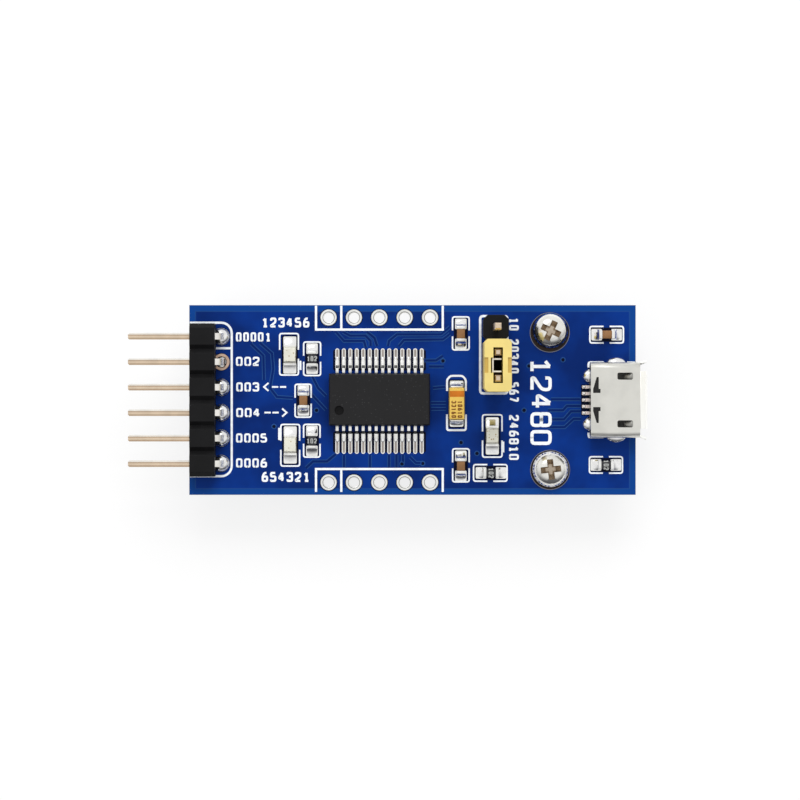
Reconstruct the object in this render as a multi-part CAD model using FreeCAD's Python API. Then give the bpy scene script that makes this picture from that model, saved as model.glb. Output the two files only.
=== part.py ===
import FreeCAD, Part
import math
import os

from FreeCAD import Vector

# Serial adapter module: a small circuit board with a right-angle pin header at one end and a small
# socket at the other. Sizes are in millimetres. X runs along the board towards the socket, Y across
# it and Z up. Places on the board are measured from its centre. A place named share is the place
# along the board in shares of the board's length.

# Board
board_length = 44.7
board_width = 19.0
board_thickness = 1.6

# Two rows of open holes along the board's long edges
pitch = 2.54
open_hole_radius = 0.525
open_row_count = 5
open_row_inset = 1.245
open_row_x = -3.32

# Square pins, shared by the header and the jumper block
pin_side = 0.64
pin_tip_bevel = 0.13
pin_hole_radius = 0.5
pin_below_board = 1.4
solder_foot_radius = 0.8
solder_rise = 0.5
solder_drop = 0.8
solder_neck = 0.12
solder_sides = 12

# Right-angle header
header_count = 6
header_open_pin = 2
block_depth = 2.5
block_setback = 0.18
block_height = 2.54
block_groove = 0.42
header_pin_reach = 6.0
header_hole_inset = 3.2
header_bend_radius = 0.4

# Jumper block, its cap and the spring clip in the cap
jumper_share = 0.185235
jumper_y = 4.65
jumper_count = 3
jumper_side = 2.54
post_above_block = 6.0
cap_width = 2.66
cap_length = 5.14
cap_height = 6.0
cap_corner = 0.32
cap_seat_gap = 0.04
cap_slot_clearance = 0.14
cap_slot_flare = 0.2
cap_dent_depth = 0.15
cap_dent_length = 1.5
cap_dent_width = 0.38
clip_thickness = 0.15
clip_pocket_depth = 0.24
clip_plate_gap = 0.12
clip_plate_length = 1.48
clip_arm_spread = 0.6
clip_pin_gap = 0.02
clip_bottom_gap = 0.8
clip_top_gap = 0.35

# Bridge chip with two rows of gull-wing leads
chip_share = -0.073826
chip_y = 0.05
chip_length = 10.1
chip_width = 5.2
chip_height = 1.75
chip_draft = 0.13
chip_lift = 0.1
chip_dimple_radius = 0.28
chip_dimple_depth = 0.1
chip_dimple_inset = 1.0
lead_count = 14
lead_pitch = 0.65
lead_width = 0.3
lead_thickness = 0.16
lead_shoulder = 0.48
lead_slope = 0.3
lead_foot = 0.62

# Socket: a folded steel shell round a plastic insert with a tongue and five contacts
shell_overhang = 0.25
shell_length = 4.9
shell_width = 7.5
shell_foot_inset = 0.8
shell_height = 2.5
shell_slant_height = 1.1
shell_corner = 0.6
shell_wall = 0.26
lip_length = 0.68
lip_rise = 0.36
lip_spread = 0.22
lip_top_width = 5.7
lip_foot_width = 4.9
lip_side_low = 1.2
lip_side_high = 2.0
window_length = 1.55
window_width = 0.7
window_centre = 2.37
window_from_front = 1.5
window_corner = 0.18
spring_length = 0.8
spring_drop = 0.3
spring_thickness = 0.14
spring_side_gap = 0.08
notch_inner = 0.7
notch_outer = 2.28
notch_step = 1.1
notch_front = 0.95
notch_rear = 0.22
notch_taper = 0.35
rear_tab_width = 1.1
rear_tab_centre = 2.42
side_tab_length = 1.2
side_tab_from_front = 2.2
tab_depth = 1.2
tab_slot_clearance = 0.18
insert_length = 1.9
tongue_length = 2.6
tongue_width = 3.7
tongue_thickness = 0.6
tongue_bottom = 1.28
contact_count = 5
contact_pitch = 0.65
contact_width = 0.28
contact_thickness = 0.14
contact_tip_gap = 0.25
contact_leg_gap = 0.06
contact_tail = 0.6
tab_solder_height = 0.42
tab_solder_drop = 0.2
tab_solder_flange = 0.3
tab_solder_slope = 0.22
rear_solder_radius = 0.68
rear_solder_offset = 0.1
side_solder_length = 2.0
side_solder_width = 1.2

# Screws, and the hexagonal spacers that they hold under the board
screw_end_inset = 8.55
screw_side_inset = 2.57
screw_radius = 1.0
screw_length = 4.0
screw_hole_radius = 1.1
screw_head_radius = 1.78
screw_head_height = 1.25
screw_head_side = 0.4
screw_head_shoulder = 0.9
screw_head_shoulder_radius = 1.5
screw_head_flat = 0.95
recess_span = 2.1
recess_width = 0.62
recess_depth = 0.8
recess_floor_span = 1.0
recess_floor_width = 0.34
upper_screw_turn = -25.0
lower_screw_turn = 6.0
spacer_height = 5.0
spacer_across_flats = 4.0
spacer_bevel = 0.15
spacer_thread_radius = 0.8
spacer_thread_gap = 0.15
upper_spacer_turn = 12.0
lower_spacer_turn = 41.0

# Tantalum capacitor
tantalum_share = 0.098881
tantalum_y = -0.37
tantalum_length = 3.2
tantalum_width = 1.6
tantalum_height = 1.6
tantalum_draft = 0.08
tantalum_terminal_width = 1.2
tantalum_terminal_thickness = 0.12
tantalum_foot = 0.8
tantalum_solder_reach = 2.25
tantalum_solder_width = 1.3

# Ceramic capacitors and chip resistors of one outline, and indicator lamps of the next larger one
chip_part_length = 1.6
chip_part_width = 0.8
capacitor_height = 0.75
resistor_height = 0.45
end_length = 0.33
end_wrap = 0.025
end_bevel = 0.06
chip_part_solder_reach = 1.45
chip_part_solder_width = 1.0
lamp_length = 2.1
lamp_width = 1.25
lamp_base_height = 0.28
lamp_height = 0.85
lamp_end_length = 0.27
lamp_lens_length = 1.6
lamp_lens_draft = 0.16
lamp_lens_side_draft = 0.04
lamp_solder_reach = 1.75
lamp_solder_width = 1.2
solder_climb = 0.75
solder_sag = 0.33

# Share and Y of each small part's place on the board, and the axis that it lies along
capacitor_shares = [(-0.244295, -0.04, "Y"), (0.108277, 6.62, "Y"), (0.108277, -6.6, "Y"),
                    (0.434899, 6.54, "X")]
resistor_shares = [(-0.224832, 4.14, "Y"), (-0.22528, -4.09, "Y"), (0.175839, -7.3, "X"),
                   (0.433333, -6.5, "X")]
lamp_shares = [(-0.27472, 4.5, "Y"), (-0.273826, -4.5, "Y"), (0.178747, -3.6, "Y")]

# Levels and edges that follow from the sizes above
up = Vector(0, 0, 1)
board_bottom = spacer_height
board_top = board_bottom + board_thickness
board_left = -board_length / 2
board_right = board_length / 2
header_pin_x = board_left + header_hole_inset
screw_x = board_right - screw_end_inset
header_pin_z = board_top + block_height / 2
header_tip_x = board_left - header_pin_reach
jumper_block_top = board_top + block_height
jumper_x = jumper_share * board_length
chip_x = chip_share * board_length
tantalum_x = tantalum_share * board_length
cap_x = jumper_x
cap_y = jumper_y - (jumper_count - 2) * pitch / 2
cap_bottom = jumper_block_top + cap_seat_gap
cap_top = cap_bottom + cap_height
slot_width = pin_side + 2 * cap_slot_clearance
slot_length = pitch + pin_side + 2 * cap_slot_clearance
shell_front = board_right + shell_overhang
shell_rear = shell_front - shell_length
shell_mouth = shell_front + lip_length
shell_top = board_top + shell_height
rear_tab_x = shell_rear + shell_wall / 2
side_tab_x = shell_front - side_tab_from_front
side_tab_y = (shell_width - shell_wall) / 2
rear_slot = (shell_wall + 2 * tab_slot_clearance, rear_tab_width + 2 * tab_slot_clearance)
side_slot = (side_tab_length + 2 * tab_slot_clearance, shell_wall + 2 * tab_slot_clearance)
insert_rear = shell_rear + shell_wall
insert_front = insert_rear + insert_length
origin_shift = -(header_tip_x + shell_mouth) / 2


def spaced(count, step):
    """Places of equal pieces either side of a middle."""
    return [(i - (count - 1) / 2) * step for i in range(count)]


open_holes = [
    (open_row_x + x, side * (board_width / 2 - open_row_inset))
    for side in (1, -1)
    for x in spaced(open_row_count, pitch)
]
header_pins = [(header_pin_x, -y) for y in spaced(header_count, pitch)]
jumper_pins = [(jumper_x, jumper_y - y) for y in spaced(jumper_count, pitch)]
contact_places = spaced(contact_count, contact_pitch)
capacitor_places = [(share * board_length, y, along) for share, y, along in capacitor_shares]
resistor_places = [(share * board_length, y, along) for share, y, along in resistor_shares]
lamp_places = [(share * board_length, y, along) for share, y, along in lamp_shares]
screw_y = board_width / 2 - screw_side_inset
screw_places = {"upper": screw_y, "lower": -screw_y}


def box(x_low, x_high, y_low, y_high, z_low, z_high):
    """A block between two corners."""
    size = (x_high - x_low, y_high - y_low, z_high - z_low)
    return Part.makeBox(*size, Vector(x_low, y_low, z_low))


def centred_box(x, y, x_size, y_size, z_low, z_high):
    """A block round an upright line."""
    return box(x - x_size / 2, x + x_size / 2, y - y_size / 2, y + y_size / 2, z_low, z_high)


def cylinder(x, y, radius, z_low, z_high):
    """An upright cylinder."""
    return Part.makeCylinder(radius, z_high - z_low, Vector(x, y, z_low))


def rectangle(x, y, x_size, y_size, z):
    """A level rectangle round an upright line, as a wire."""
    corners = [
        Vector(x + i * x_size / 2, y + j * y_size / 2, z)
        for i, j in ((-1, -1), (1, -1), (1, 1), (-1, 1))
    ]
    return Part.makePolygon(corners + corners[:1])


def taper(x, y, low_size, z_low, high_size, z_high):
    """A block that changes evenly from one rectangle to another."""
    sections = [rectangle(x, y, *low_size, z_low), rectangle(x, y, *high_size, z_high)]
    return Part.makeLoft(sections, True, True)


def placed(u, v, depth, plane):
    """A point drawn in a plane, at a distance from it along the third axis."""
    points = {"XZ": (u, depth, v), "YZ": (depth, u, v), "XY": (u, v, depth)}
    return Vector(*points[plane])


def outline(plane, depth, start, *moves):
    """A flat face: each move is a point to go straight to, or two points for an arc."""
    edges = []
    here = start
    for move in moves + (start,):
        through, there = move if isinstance(move[0], tuple) else (None, move)
        ends = [placed(*point, depth, plane) for point in (here, there)]
        if through:
            edges.append(Part.Arc(ends[0], placed(*through, depth, plane), ends[1]).toShape())
        else:
            edges.append(Part.LineSegment(*ends).toShape())
        here = there
    return Part.Face(Part.Wire(edges))


def prism(plane, depth, width, start, *moves):
    """A flat face that is given a width out of its plane."""
    return outline(plane, depth, start, *moves).extrude(placed(0, 0, width, plane))


def turned(x, y, start, *moves):
    """An outline of radii and heights, turned round an upright line."""
    solid = outline("XZ", 0, start, *moves).revolve(Vector(0, 0, 0), up, 360)
    solid.translate(Vector(x, y, 0))
    return solid


def strip(route, thickness, inner_radius, plane, depth, width):
    """A strip of one thickness that follows a bent middle line drawn in a plane."""
    points = [Vector(u, v, 0) for u, v in route]
    runs = [(after - before).normalize() for before, after in zip(points, points[1:])]
    middle_radius = inner_radius + thickness / 2

    def left_of(run):
        return Vector(-run.y, run.x, 0)

    def lift(point):
        return placed(point.x, point.y, depth, plane)

    def edge_line(side):
        curves = []
        here = points[0] + left_of(runs[0]) * side * thickness / 2
        for corner, before, after in zip(points[1:-1], runs, runs[1:]):
            turn_side = 1 if before.cross(after).z > 0 else -1
            setback = middle_radius * math.tan(before.getAngle(after) / 2)
            bend_start = corner - before * setback
            bend_end = corner + after * setback
            centre = bend_start + left_of(before) * turn_side * middle_radius
            radius = middle_radius - side * turn_side * thickness / 2
            middle = centre + (corner - centre).normalize() * radius
            arc_start = bend_start + left_of(before) * side * thickness / 2
            arc_end = bend_end + left_of(after) * side * thickness / 2
            curves.append(Part.LineSegment(lift(here), lift(arc_start)))
            curves.append(Part.Arc(lift(arc_start), lift(middle), lift(arc_end)))
            here = arc_end
        there = points[-1] + left_of(runs[-1]) * side * thickness / 2
        curves.append(Part.LineSegment(lift(here), lift(there)))
        return curves

    left = edge_line(1)
    right = edge_line(-1)
    far_end = Part.LineSegment(left[-1].EndPoint, right[-1].EndPoint)
    near_end = Part.LineSegment(right[0].StartPoint, left[0].StartPoint)
    edges = [curve.toShape() for curve in left + [far_end] + right[::-1] + [near_end]]
    return Part.Face(Part.Wire(edges)).extrude(placed(0, 0, width, plane))


def folded(route, thickness, plane, depth, width):
    """A strip that is folded sharply at each point of its middle line."""
    points = [Vector(u, v, 0) for u, v in route]
    runs = [(after - before).normalize() for before, after in zip(points, points[1:])]
    sides = [Vector(-run.y, run.x, 0) for run in runs]
    mitres = [(before + after) / (1 + before.dot(after)) for before, after in zip(sides, sides[1:])]
    offsets = [sides[0]] + mitres + [sides[-1]]
    left = [point + offset * thickness / 2 for point, offset in zip(points, offsets)]
    right = [point - offset * thickness / 2 for point, offset in zip(points, offsets)]
    return prism(plane, depth, width, *[(point.x, point.y) for point in left + right[::-1]])


def frustum(x, y, near_radius, z_near, far_radius, z_far):
    """An upright many-sided cone with its tip cut off."""
    turns = [2 * math.pi * i / solder_sides for i in range(solder_sides)]
    near, far = (
        [Vector(x + radius * math.cos(turn), y + radius * math.sin(turn), z) for turn in turns]
        for radius, z in ((near_radius, z_near), (far_radius, z_far))
    )
    sides = [[near[i - 1], near[i], far[i], far[i - 1]] for i in range(solder_sides)]
    faces = [Part.Face(Part.makePolygon(ring + ring[:1])) for ring in [near, far] + sides]
    solid = Part.Solid(Part.Shell(faces))
    if solid.Volume < 0:
        solid.reverse()
    return solid


def bevel_end(solid, direction, size):
    """Bevels the edges of the flat face that lies furthest out in a direction."""
    face = max(solid.Faces, key=lambda each: each.CenterOfMass.dot(direction))
    return solid.makeChamfer(size, face.Edges)


def upright_edges(solid):
    """The edges that run along Z."""
    return [
        edge for edge in solid.Edges
        if edge.BoundBox.XLength < 0.001 and edge.BoundBox.YLength < 0.001
    ]


def laid(solid, x, y, along):
    """A piece made along Y, turned about its own place where it lies along X."""
    if along == "X":
        solid.rotate(Vector(x, y, 0), up, 90)
    return solid


def moulded(x, y, size, z_low, z_high, draft, band):
    """A moulded block, drafted both ways from a straight band at its parting line."""
    ends = (size[0] - 2 * draft, size[1] - 2 * draft)
    middle = (z_low + z_high) / 2
    lower = taper(x, y, ends, z_low, size, middle - band / 2)
    belt = centred_box(x, y, *size, middle - band / 2, middle + band / 2)
    upper = taper(x, y, size, middle + band / 2, ends, z_high)
    return lower.fuse([belt, upper]).removeSplitter()


def save(name, *solids):
    """Writes one sub-part, with the origin under the middle of the whole module."""
    shape = Part.makeCompound(list(solids)) if len(solids) > 1 else solids[0].copy()
    shape.translate(Vector(origin_shift, 0, 0))
    shape.exportStep(os.path.join("parts", name + ".step"))


def circuit_board():
    """The board with its drilled holes, and the slots for the tabs of the socket's shell."""
    levels = (board_bottom, board_top)
    plate = box(board_left, board_right, -board_width / 2, board_width / 2, *levels)
    tools = [cylinder(x, y, open_hole_radius, *levels) for x, y in open_holes]
    tools += [cylinder(x, y, pin_hole_radius, *levels) for x, y in header_pins + jumper_pins]
    tools += [cylinder(screw_x, y, screw_hole_radius, *levels) for y in screw_places.values()]
    for side in (1, -1):
        tools.append(centred_box(rear_tab_x, side * rear_tab_centre, *rear_slot, *levels))
        tools.append(centred_box(side_tab_x, side * side_tab_y, *side_slot, *levels))
    return plate.cut(tools)


def grooved_row(count, low, height):
    """The outline of a row of eight-sided cells, with a notch between neighbours."""
    start = -count * pitch / 2
    high = low + height
    lower = []
    upper = []
    for cell in range(count):
        left = start + cell * pitch
        right = left + pitch
        lower += [(left + block_groove, low), (right - block_groove, low)]
        upper += [(left + block_groove, high), (right - block_groove, high)]
        if cell < count - 1:
            lower.append((right, low + block_groove))
            upper.append((right, high - block_groove))
    right_end = [(-start, low + block_groove), (-start, high - block_groove)]
    left_end = [(start, high - block_groove), (start, low + block_groove)]
    return lower + right_end + upper[::-1] + left_end


def header_pin(x, y):
    """A square pin that lies along the header and turns down into the board."""
    route = [
        (header_tip_x, header_pin_z),
        (x, header_pin_z),
        (x, board_bottom - pin_below_board),
    ]
    pin = strip(route, pin_side, header_bend_radius, "XZ", y - pin_side / 2, pin_side)
    pin = bevel_end(pin, Vector(-1, 0, 0), pin_tip_bevel)
    return bevel_end(pin, -up, pin_tip_bevel)


def header_block():
    """The header's plastic block at the board's end, pierced by its pins."""
    row = grooved_row(header_count, board_top, block_height)
    block = prism("YZ", board_left + block_setback, block_depth, *row)
    return block.cut([header_pin(x, y) for x, y in header_pins])


def jumper_post(x, y):
    """A straight square pin through the jumper block and the board."""
    ends = (board_bottom - pin_below_board, jumper_block_top + post_above_block)
    post = centred_box(x, y, pin_side, pin_side, *ends)
    return bevel_end(bevel_end(post, up, pin_tip_bevel), -up, pin_tip_bevel)


def jumper_block():
    """The jumper's plastic block of eight-sided cells, which stands on the board."""
    row = [(v, u) for u, v in grooved_row(jumper_count, -jumper_side / 2, jumper_side)]
    block = prism("XY", board_top, block_height, *row)
    block.translate(Vector(jumper_x, jumper_y, 0))
    return block.cut([jumper_post(x, y) for x, y in jumper_pins])


def solder_cone(x, y, face, far):
    """Solder round a pin, from a face of the board to its narrow tip."""
    return frustum(x, y, solder_foot_radius, face, pin_side / 2 + solder_neck, far)


def pin_solder():
    """Solder under the board at every pin, and on top of it where it has flowed through."""
    joints = []
    block = header_block()
    below = (board_bottom, board_bottom - solder_drop)
    above = (board_top, board_top + solder_rise)
    for number, place in enumerate(header_pins, 1):
        pin = header_pin(*place)
        joints.append(solder_cone(*place, *below).cut(pin))
        if number != header_open_pin:
            joints.append(solder_cone(*place, *above).cut([pin, block]))
    for place in jumper_pins:
        joints.append(solder_cone(*place, *below).cut(jumper_post(*place)))
    return joints


def jumper_cap():
    """The push-on cap: a sleeve over two posts, open at both ends, with a pocket for its clip."""
    levels = (cap_bottom, cap_top)
    body = centred_box(cap_x, cap_y, cap_width, cap_length, *levels)
    body = body.makeChamfer(cap_corner, upright_edges(body))
    slot = (slot_width, slot_length)
    flared = (slot_width + 2 * cap_slot_flare, slot_length + 2 * cap_slot_flare)
    pocket_x = cap_x - (slot_width + clip_pocket_depth) / 2
    tools = [
        centred_box(cap_x, cap_y, *slot, *levels),
        centred_box(pocket_x, cap_y, clip_pocket_depth, clip_plate_length, *levels),
        taper(cap_x, cap_y, flared, cap_bottom, slot, cap_bottom + cap_slot_flare),
    ]
    for side in (1, -1):
        dent_x = cap_x + side * (cap_width - cap_dent_width) / 2
        dent = (cap_dent_width, cap_dent_length)
        tools.append(centred_box(dent_x, cap_y, *dent, cap_top - cap_dent_depth, cap_top))
    return body.cut(tools)


def jumper_clip():
    """The spring clip in the cap: a plate with two arms that bow out against the posts."""
    low = cap_bottom + clip_bottom_gap
    high = cap_top - clip_top_gap
    middle = (low + high) / 2
    arm_start = cap_x - slot_width / 2
    arm_end = cap_x + slot_width / 2 - clip_plate_gap
    plate_x = arm_start - clip_pocket_depth + clip_plate_gap + clip_thickness / 2
    bow = (pitch - pin_side) / 2 - clip_pin_gap - clip_thickness / 2
    clip = centred_box(plate_x, cap_y, clip_thickness, clip_plate_length, low, high)
    for side in (1, -1):
        route = [
            (cap_y + side * clip_arm_spread, low),
            (cap_y + side * bow, middle),
            (cap_y + side * clip_arm_spread, high),
        ]
        width = arm_end - arm_start
        arm = folded(route, clip_thickness, "YZ", arm_start, width)
        clip = clip.fuse(arm)
    return clip.removeSplitter()


def chip_body():
    """The chip's moulded body, with a dimple in the corner of its first lead."""
    bottom = board_top + chip_lift
    top = bottom + chip_height
    size = (chip_length, chip_width)
    body = moulded(chip_x, chip_y, size, bottom, top, chip_draft, lead_thickness)
    dimple_x = chip_x - chip_length / 2 + chip_dimple_inset
    dimple_y = chip_y - chip_width / 2 + chip_dimple_inset
    levels = (top - chip_dimple_depth, top)
    return body.cut(cylinder(dimple_x, dimple_y, chip_dimple_radius, *levels))


def chip_leads():
    """The gull-wing leads: a shoulder out of the body, a slope down and a foot on its pad."""
    leads = []
    root = chip_width / 2
    shoulder = root + lead_shoulder
    heel = shoulder + lead_slope
    shoulder_z = board_top + chip_lift + chip_height / 2
    foot_z = board_top + lead_thickness / 2
    line = [(root, shoulder_z), (shoulder, shoulder_z), (heel, foot_z), (heel + lead_foot, foot_z)]
    for side in (1, -1):
        route = [(chip_y + side * reach, z) for reach, z in line]
        for x in spaced(lead_count, lead_pitch):
            start = chip_x + x - lead_width / 2
            leads.append(folded(route, lead_thickness, "YZ", start, lead_width))
    return leads


def shell_section():
    """The shell's outline across its length: round upper corners and slanted lower ones."""
    half = shell_width / 2
    foot = half - shell_foot_inset
    slant = board_top + shell_slant_height
    side_top = shell_top - shell_corner
    top_end = half - shell_corner
    bend_y = top_end + shell_corner * math.sqrt(0.5)
    bend_z = side_top + shell_corner * math.sqrt(0.5)
    return outline(
        "YZ", 0,
        (-foot, board_top), (foot, board_top), (half, slant), (half, side_top),
        ((bend_y, bend_z), (top_end, shell_top)), (-top_end, shell_top),
        ((-bend_y, bend_z), (-half, side_top)), (-half, slant),
    )


def along_shell(section, x_low, x_high):
    """The solid that a section makes between two places along the shell."""
    solid = section.extrude(Vector(x_high - x_low, 0, 0))
    solid.translate(Vector(x_low, 0, 0))
    return solid


def shell_lips():
    """The four flared lips round the mouth."""
    lips = []
    start = shell_front - shell_wall
    bend = shell_front + shell_wall / 4
    radius = shell_wall / 2
    for face, way, rise, width in (
        (shell_top, -1, lip_rise, lip_top_width),
        (board_top, 1, -lip_rise, lip_foot_width),
    ):
        z = face + way * shell_wall / 2
        tip_x = shell_mouth - radius * abs(rise) / math.hypot(shell_mouth - bend, rise)
        route = [(start, z), (bend, z), (tip_x, z + rise)]
        lips.append(strip(route, shell_wall, radius, "XZ", -width / 2, width))
    for side in (1, -1):
        tip_x = shell_mouth - radius * lip_spread / math.hypot(shell_mouth - bend, lip_spread)
        route = [(start, side * side_tab_y), (bend, side * side_tab_y),
                 (tip_x, side * (side_tab_y + lip_spread))]
        low = board_top + lip_side_low
        lips.append(strip(route, shell_wall, radius, "XY", low, lip_side_high - lip_side_low))
    return lips


def shell_tabs():
    """The tabs that hold the shell in the board: two behind it and one at each side."""
    low = board_top - tab_depth
    rear = (shell_wall, rear_tab_width)
    side_size = (side_tab_length, shell_wall)
    tabs = []
    for side in (1, -1):
        rear_levels = (low, shell_top - shell_wall / 2)
        tabs.append(centred_box(rear_tab_x, side * rear_tab_centre, *rear, *rear_levels))
        side_levels = (low, shell_top - shell_corner)
        tabs.append(centred_box(side_tab_x, side * side_tab_y, *side_size, *side_levels))
    return tabs


def latch_window(side):
    """A window in the top of the shell, where a plug's barb catches."""
    x = shell_front - window_from_front
    levels = (shell_top - 2 * shell_wall, shell_top + shell_wall)
    window = centred_box(x, side * window_centre, window_length, window_width, *levels)
    return window.makeFillet(window_corner, upright_edges(window))


def latch_spring(side):
    """The finger that is pressed down from the front end of a window."""
    level = shell_top - shell_wall / 2
    window_front = shell_front - window_from_front + window_length / 2
    route = [
        (window_front + shell_wall, level),
        (window_front - spring_thickness, level),
        (window_front - spring_length, level - spring_drop),
    ]
    width = window_width - 2 * spring_side_gap
    start = side * window_centre - width / 2
    return strip(route, spring_thickness, spring_thickness, "XZ", start, width)


def rear_notch(side):
    """The stepped cut-out in the rear of the shell's top."""
    rear = shell_rear + notch_rear
    front = shell_rear + notch_front
    corners = [
        (rear, notch_inner),
        (front, notch_inner),
        (front, notch_step),
        (front - notch_taper / 2, notch_step),
        (front - notch_taper / 2, notch_outer),
        (rear + notch_taper, notch_outer),
        (rear, notch_step),
    ]
    mirrored = [(x, side * y) for x, y in corners]
    return prism("XY", shell_top - 2 * shell_wall, 3 * shell_wall, *mirrored)


def socket_shell():
    """The folded shell with its lips, tabs, latch windows and rear notches."""
    section = shell_section()
    tube = along_shell(section, shell_rear, shell_front)
    tube = tube.cut(along_shell(section.makeOffset2D(-shell_wall), shell_rear, shell_front))
    shell = tube.fuse(shell_lips() + shell_tabs())
    sides = (1, -1)
    shell = shell.cut([latch_window(side) for side in sides] + [rear_notch(side) for side in sides])
    return shell.fuse([latch_spring(side) for side in sides]).removeSplitter()


def socket_contact(y):
    """One contact: along the tongue's underside, through the insert and down to its pad."""
    line_z = board_top + tongue_bottom - contact_thickness / 2
    foot_z = board_top + contact_thickness / 2
    leg_x = shell_rear - contact_leg_gap - contact_thickness / 2
    route = [
        (insert_front + tongue_length - contact_tip_gap, line_z),
        (leg_x, line_z),
        (leg_x, foot_z),
        (leg_x - contact_tail, foot_z),
    ]
    start = y - contact_width / 2
    return folded(route, contact_thickness, "XZ", start, contact_width)


def socket_insert():
    """The plastic insert in the rear of the shell, with the tongue that carries the contacts."""
    plug = along_shell(shell_section().makeOffset2D(-shell_wall), insert_rear, insert_front)
    levels = (board_top + tongue_bottom, board_top + tongue_bottom + tongue_thickness)
    half = tongue_width / 2
    tongue = box(insert_rear, insert_front + tongue_length, -half, half, *levels)
    body = plug.fuse(tongue).cut([socket_contact(y) for y in contact_places])
    return body.removeSplitter()


def socket_solder():
    """Solder where the shell's tabs pass through the board, above and below it."""
    joints = []
    shell = along_shell(shell_section(), shell_rear, shell_front)
    peak = board_top + tab_solder_height
    drop = board_bottom - tab_solder_drop
    slope = 2 * tab_solder_slope
    side_mound = (side_solder_length, side_solder_width)
    mound_peak = [size - slope for size in side_mound]
    for side in (1, -1):
        y = side * rear_tab_centre
        radii = (rear_solder_radius, board_top, rear_solder_radius - tab_solder_slope, peak)
        joints.append(frustum(shell_rear - rear_solder_offset, y, *radii).cut(shell))
        flange = [size + 2 * tab_solder_flange for size in rear_slot]
        joints.append(taper(rear_tab_x, y, [size - slope for size in flange], drop,
                            flange, board_bottom))
        y = side * side_tab_y
        mound = taper(side_tab_x, y, side_mound, board_top, mound_peak, peak)
        joints.append(mound.cut([shell] + shell_tabs()))
        flange = [size + 2 * tab_solder_flange for size in side_slot]
        joints.append(taper(side_tab_x, y, [size - slope for size in flange], drop,
                            flange, board_bottom))
    return joints


def screw(y, turn):
    """A pan-head screw with a cross recess, which passes through the board into its spacer."""
    head_top = board_top + screw_head_height
    tip = board_top - screw_length
    solid = turned(
        screw_x, y,
        (0, tip), (screw_radius, tip), (screw_radius, board_top),
        (screw_head_radius, board_top), (screw_head_radius, board_top + screw_head_side),
        (screw_head_shoulder_radius, board_top + screw_head_shoulder),
        (screw_head_flat, head_top), (0, head_top),
    )
    floor = head_top - recess_depth
    long_arm = taper(screw_x, y, (recess_floor_span, recess_floor_width), floor,
                     (recess_span, recess_width), head_top)
    cross_arm = taper(screw_x, y, (recess_floor_width, recess_floor_span), floor,
                      (recess_width, recess_span), head_top)
    solid = solid.cut([long_arm, cross_arm])
    solid.rotate(Vector(screw_x, y, 0), up, turn)
    return solid


def spacer(y, turn):
    """A hexagonal spacer, tapped right through, with bevelled ends."""
    flat = spacer_across_flats / 2
    corner = spacer_across_flats / math.sqrt(3)
    corners = [(corner * math.cos(math.pi * i / 3), corner * math.sin(math.pi * i / 3))
               for i in range(6)]
    hexagon = prism("XY", 0, spacer_height, *corners)
    blank = turned(
        0, 0,
        (0, 0), (flat, 0), (corner, spacer_bevel),
        (corner, spacer_height - spacer_bevel), (flat, spacer_height), (0, spacer_height),
    )
    thread_end = board_top - screw_length - spacer_thread_gap
    bore = turned(
        0, 0,
        (0, 0), (spacer_thread_radius, 0), (spacer_thread_radius, thread_end),
        (screw_radius, thread_end), (screw_radius, spacer_height), (0, spacer_height),
    )
    solid = hexagon.common(blank).cut(bore)
    solid.rotate(Vector(0, 0, 0), up, turn)
    solid.translate(Vector(screw_x, y, 0))
    return solid


def tantalum_case():
    """The tantalum capacitor's moulded case, raised on the feet of its terminals."""
    bottom = board_top + tantalum_terminal_thickness
    size = (tantalum_width, tantalum_length)
    return moulded(tantalum_x, tantalum_y, size, bottom, board_top + tantalum_height,
                   tantalum_draft, tantalum_terminal_thickness)


def tantalum_terminals():
    """Its two terminals, which leave the case at its parting line and fold in under it."""
    terminals = []
    end = tantalum_length / 2
    thickness = tantalum_terminal_thickness
    parting = board_top + (tantalum_height + thickness) / 2
    foot_z = board_top + thickness / 2
    line = [(end, parting), (end + thickness, parting), (end + thickness, foot_z),
            (end + thickness - tantalum_foot, foot_z)]
    start = tantalum_x - tantalum_terminal_width / 2
    for side in (1, -1):
        route = [(tantalum_y + side * reach, z) for reach, z in line]
        terminals.append(folded(route, thickness, "YZ", start, tantalum_terminal_width))
    return terminals


def small_body(x, y, along, height):
    """The ceramic between the ends of a capacitor or resistor."""
    length = chip_part_length - 2 * end_length
    levels = (board_top + end_wrap, board_top + height - end_wrap)
    return laid(centred_box(x, y, chip_part_width, length, *levels), x, y, along)


def small_ends(x, y, along, height):
    """The two plated ends of a capacitor or resistor."""
    ends = []
    size = (chip_part_width + 2 * end_wrap, end_length)
    for side in (1, -1):
        end_y = y + side * (chip_part_length - end_length) / 2
        end = centred_box(x, end_y, *size, board_top, board_top + height)
        end = bevel_end(end, Vector(0, side, 0), end_bevel)
        ends.append(laid(end, x, y, along))
    return ends


def lamp_base(x, y, along):
    """The board that carries an indicator lamp's die and lens."""
    length = lamp_length - 2 * lamp_end_length
    levels = (board_top, board_top + lamp_base_height)
    return laid(centred_box(x, y, lamp_width, length, *levels), x, y, along)


def lamp_lens(x, y, along):
    """The clear moulding over the lamp's die."""
    low = (lamp_width, lamp_lens_length)
    high = (lamp_width - 2 * lamp_lens_side_draft, lamp_lens_length - 2 * lamp_lens_draft)
    lens = taper(x, y, low, board_top + lamp_base_height, high, board_top + lamp_height)
    return laid(lens, x, y, along)


def lamp_ends(x, y, along):
    """The two plated ends of an indicator lamp."""
    ends = []
    for side in (1, -1):
        end_y = y + side * (lamp_length - lamp_end_length) / 2
        levels = (board_top, board_top + lamp_base_height)
        end = centred_box(x, end_y, lamp_width, lamp_end_length, *levels)
        ends.append(laid(end, x, y, along))
    return ends


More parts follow.
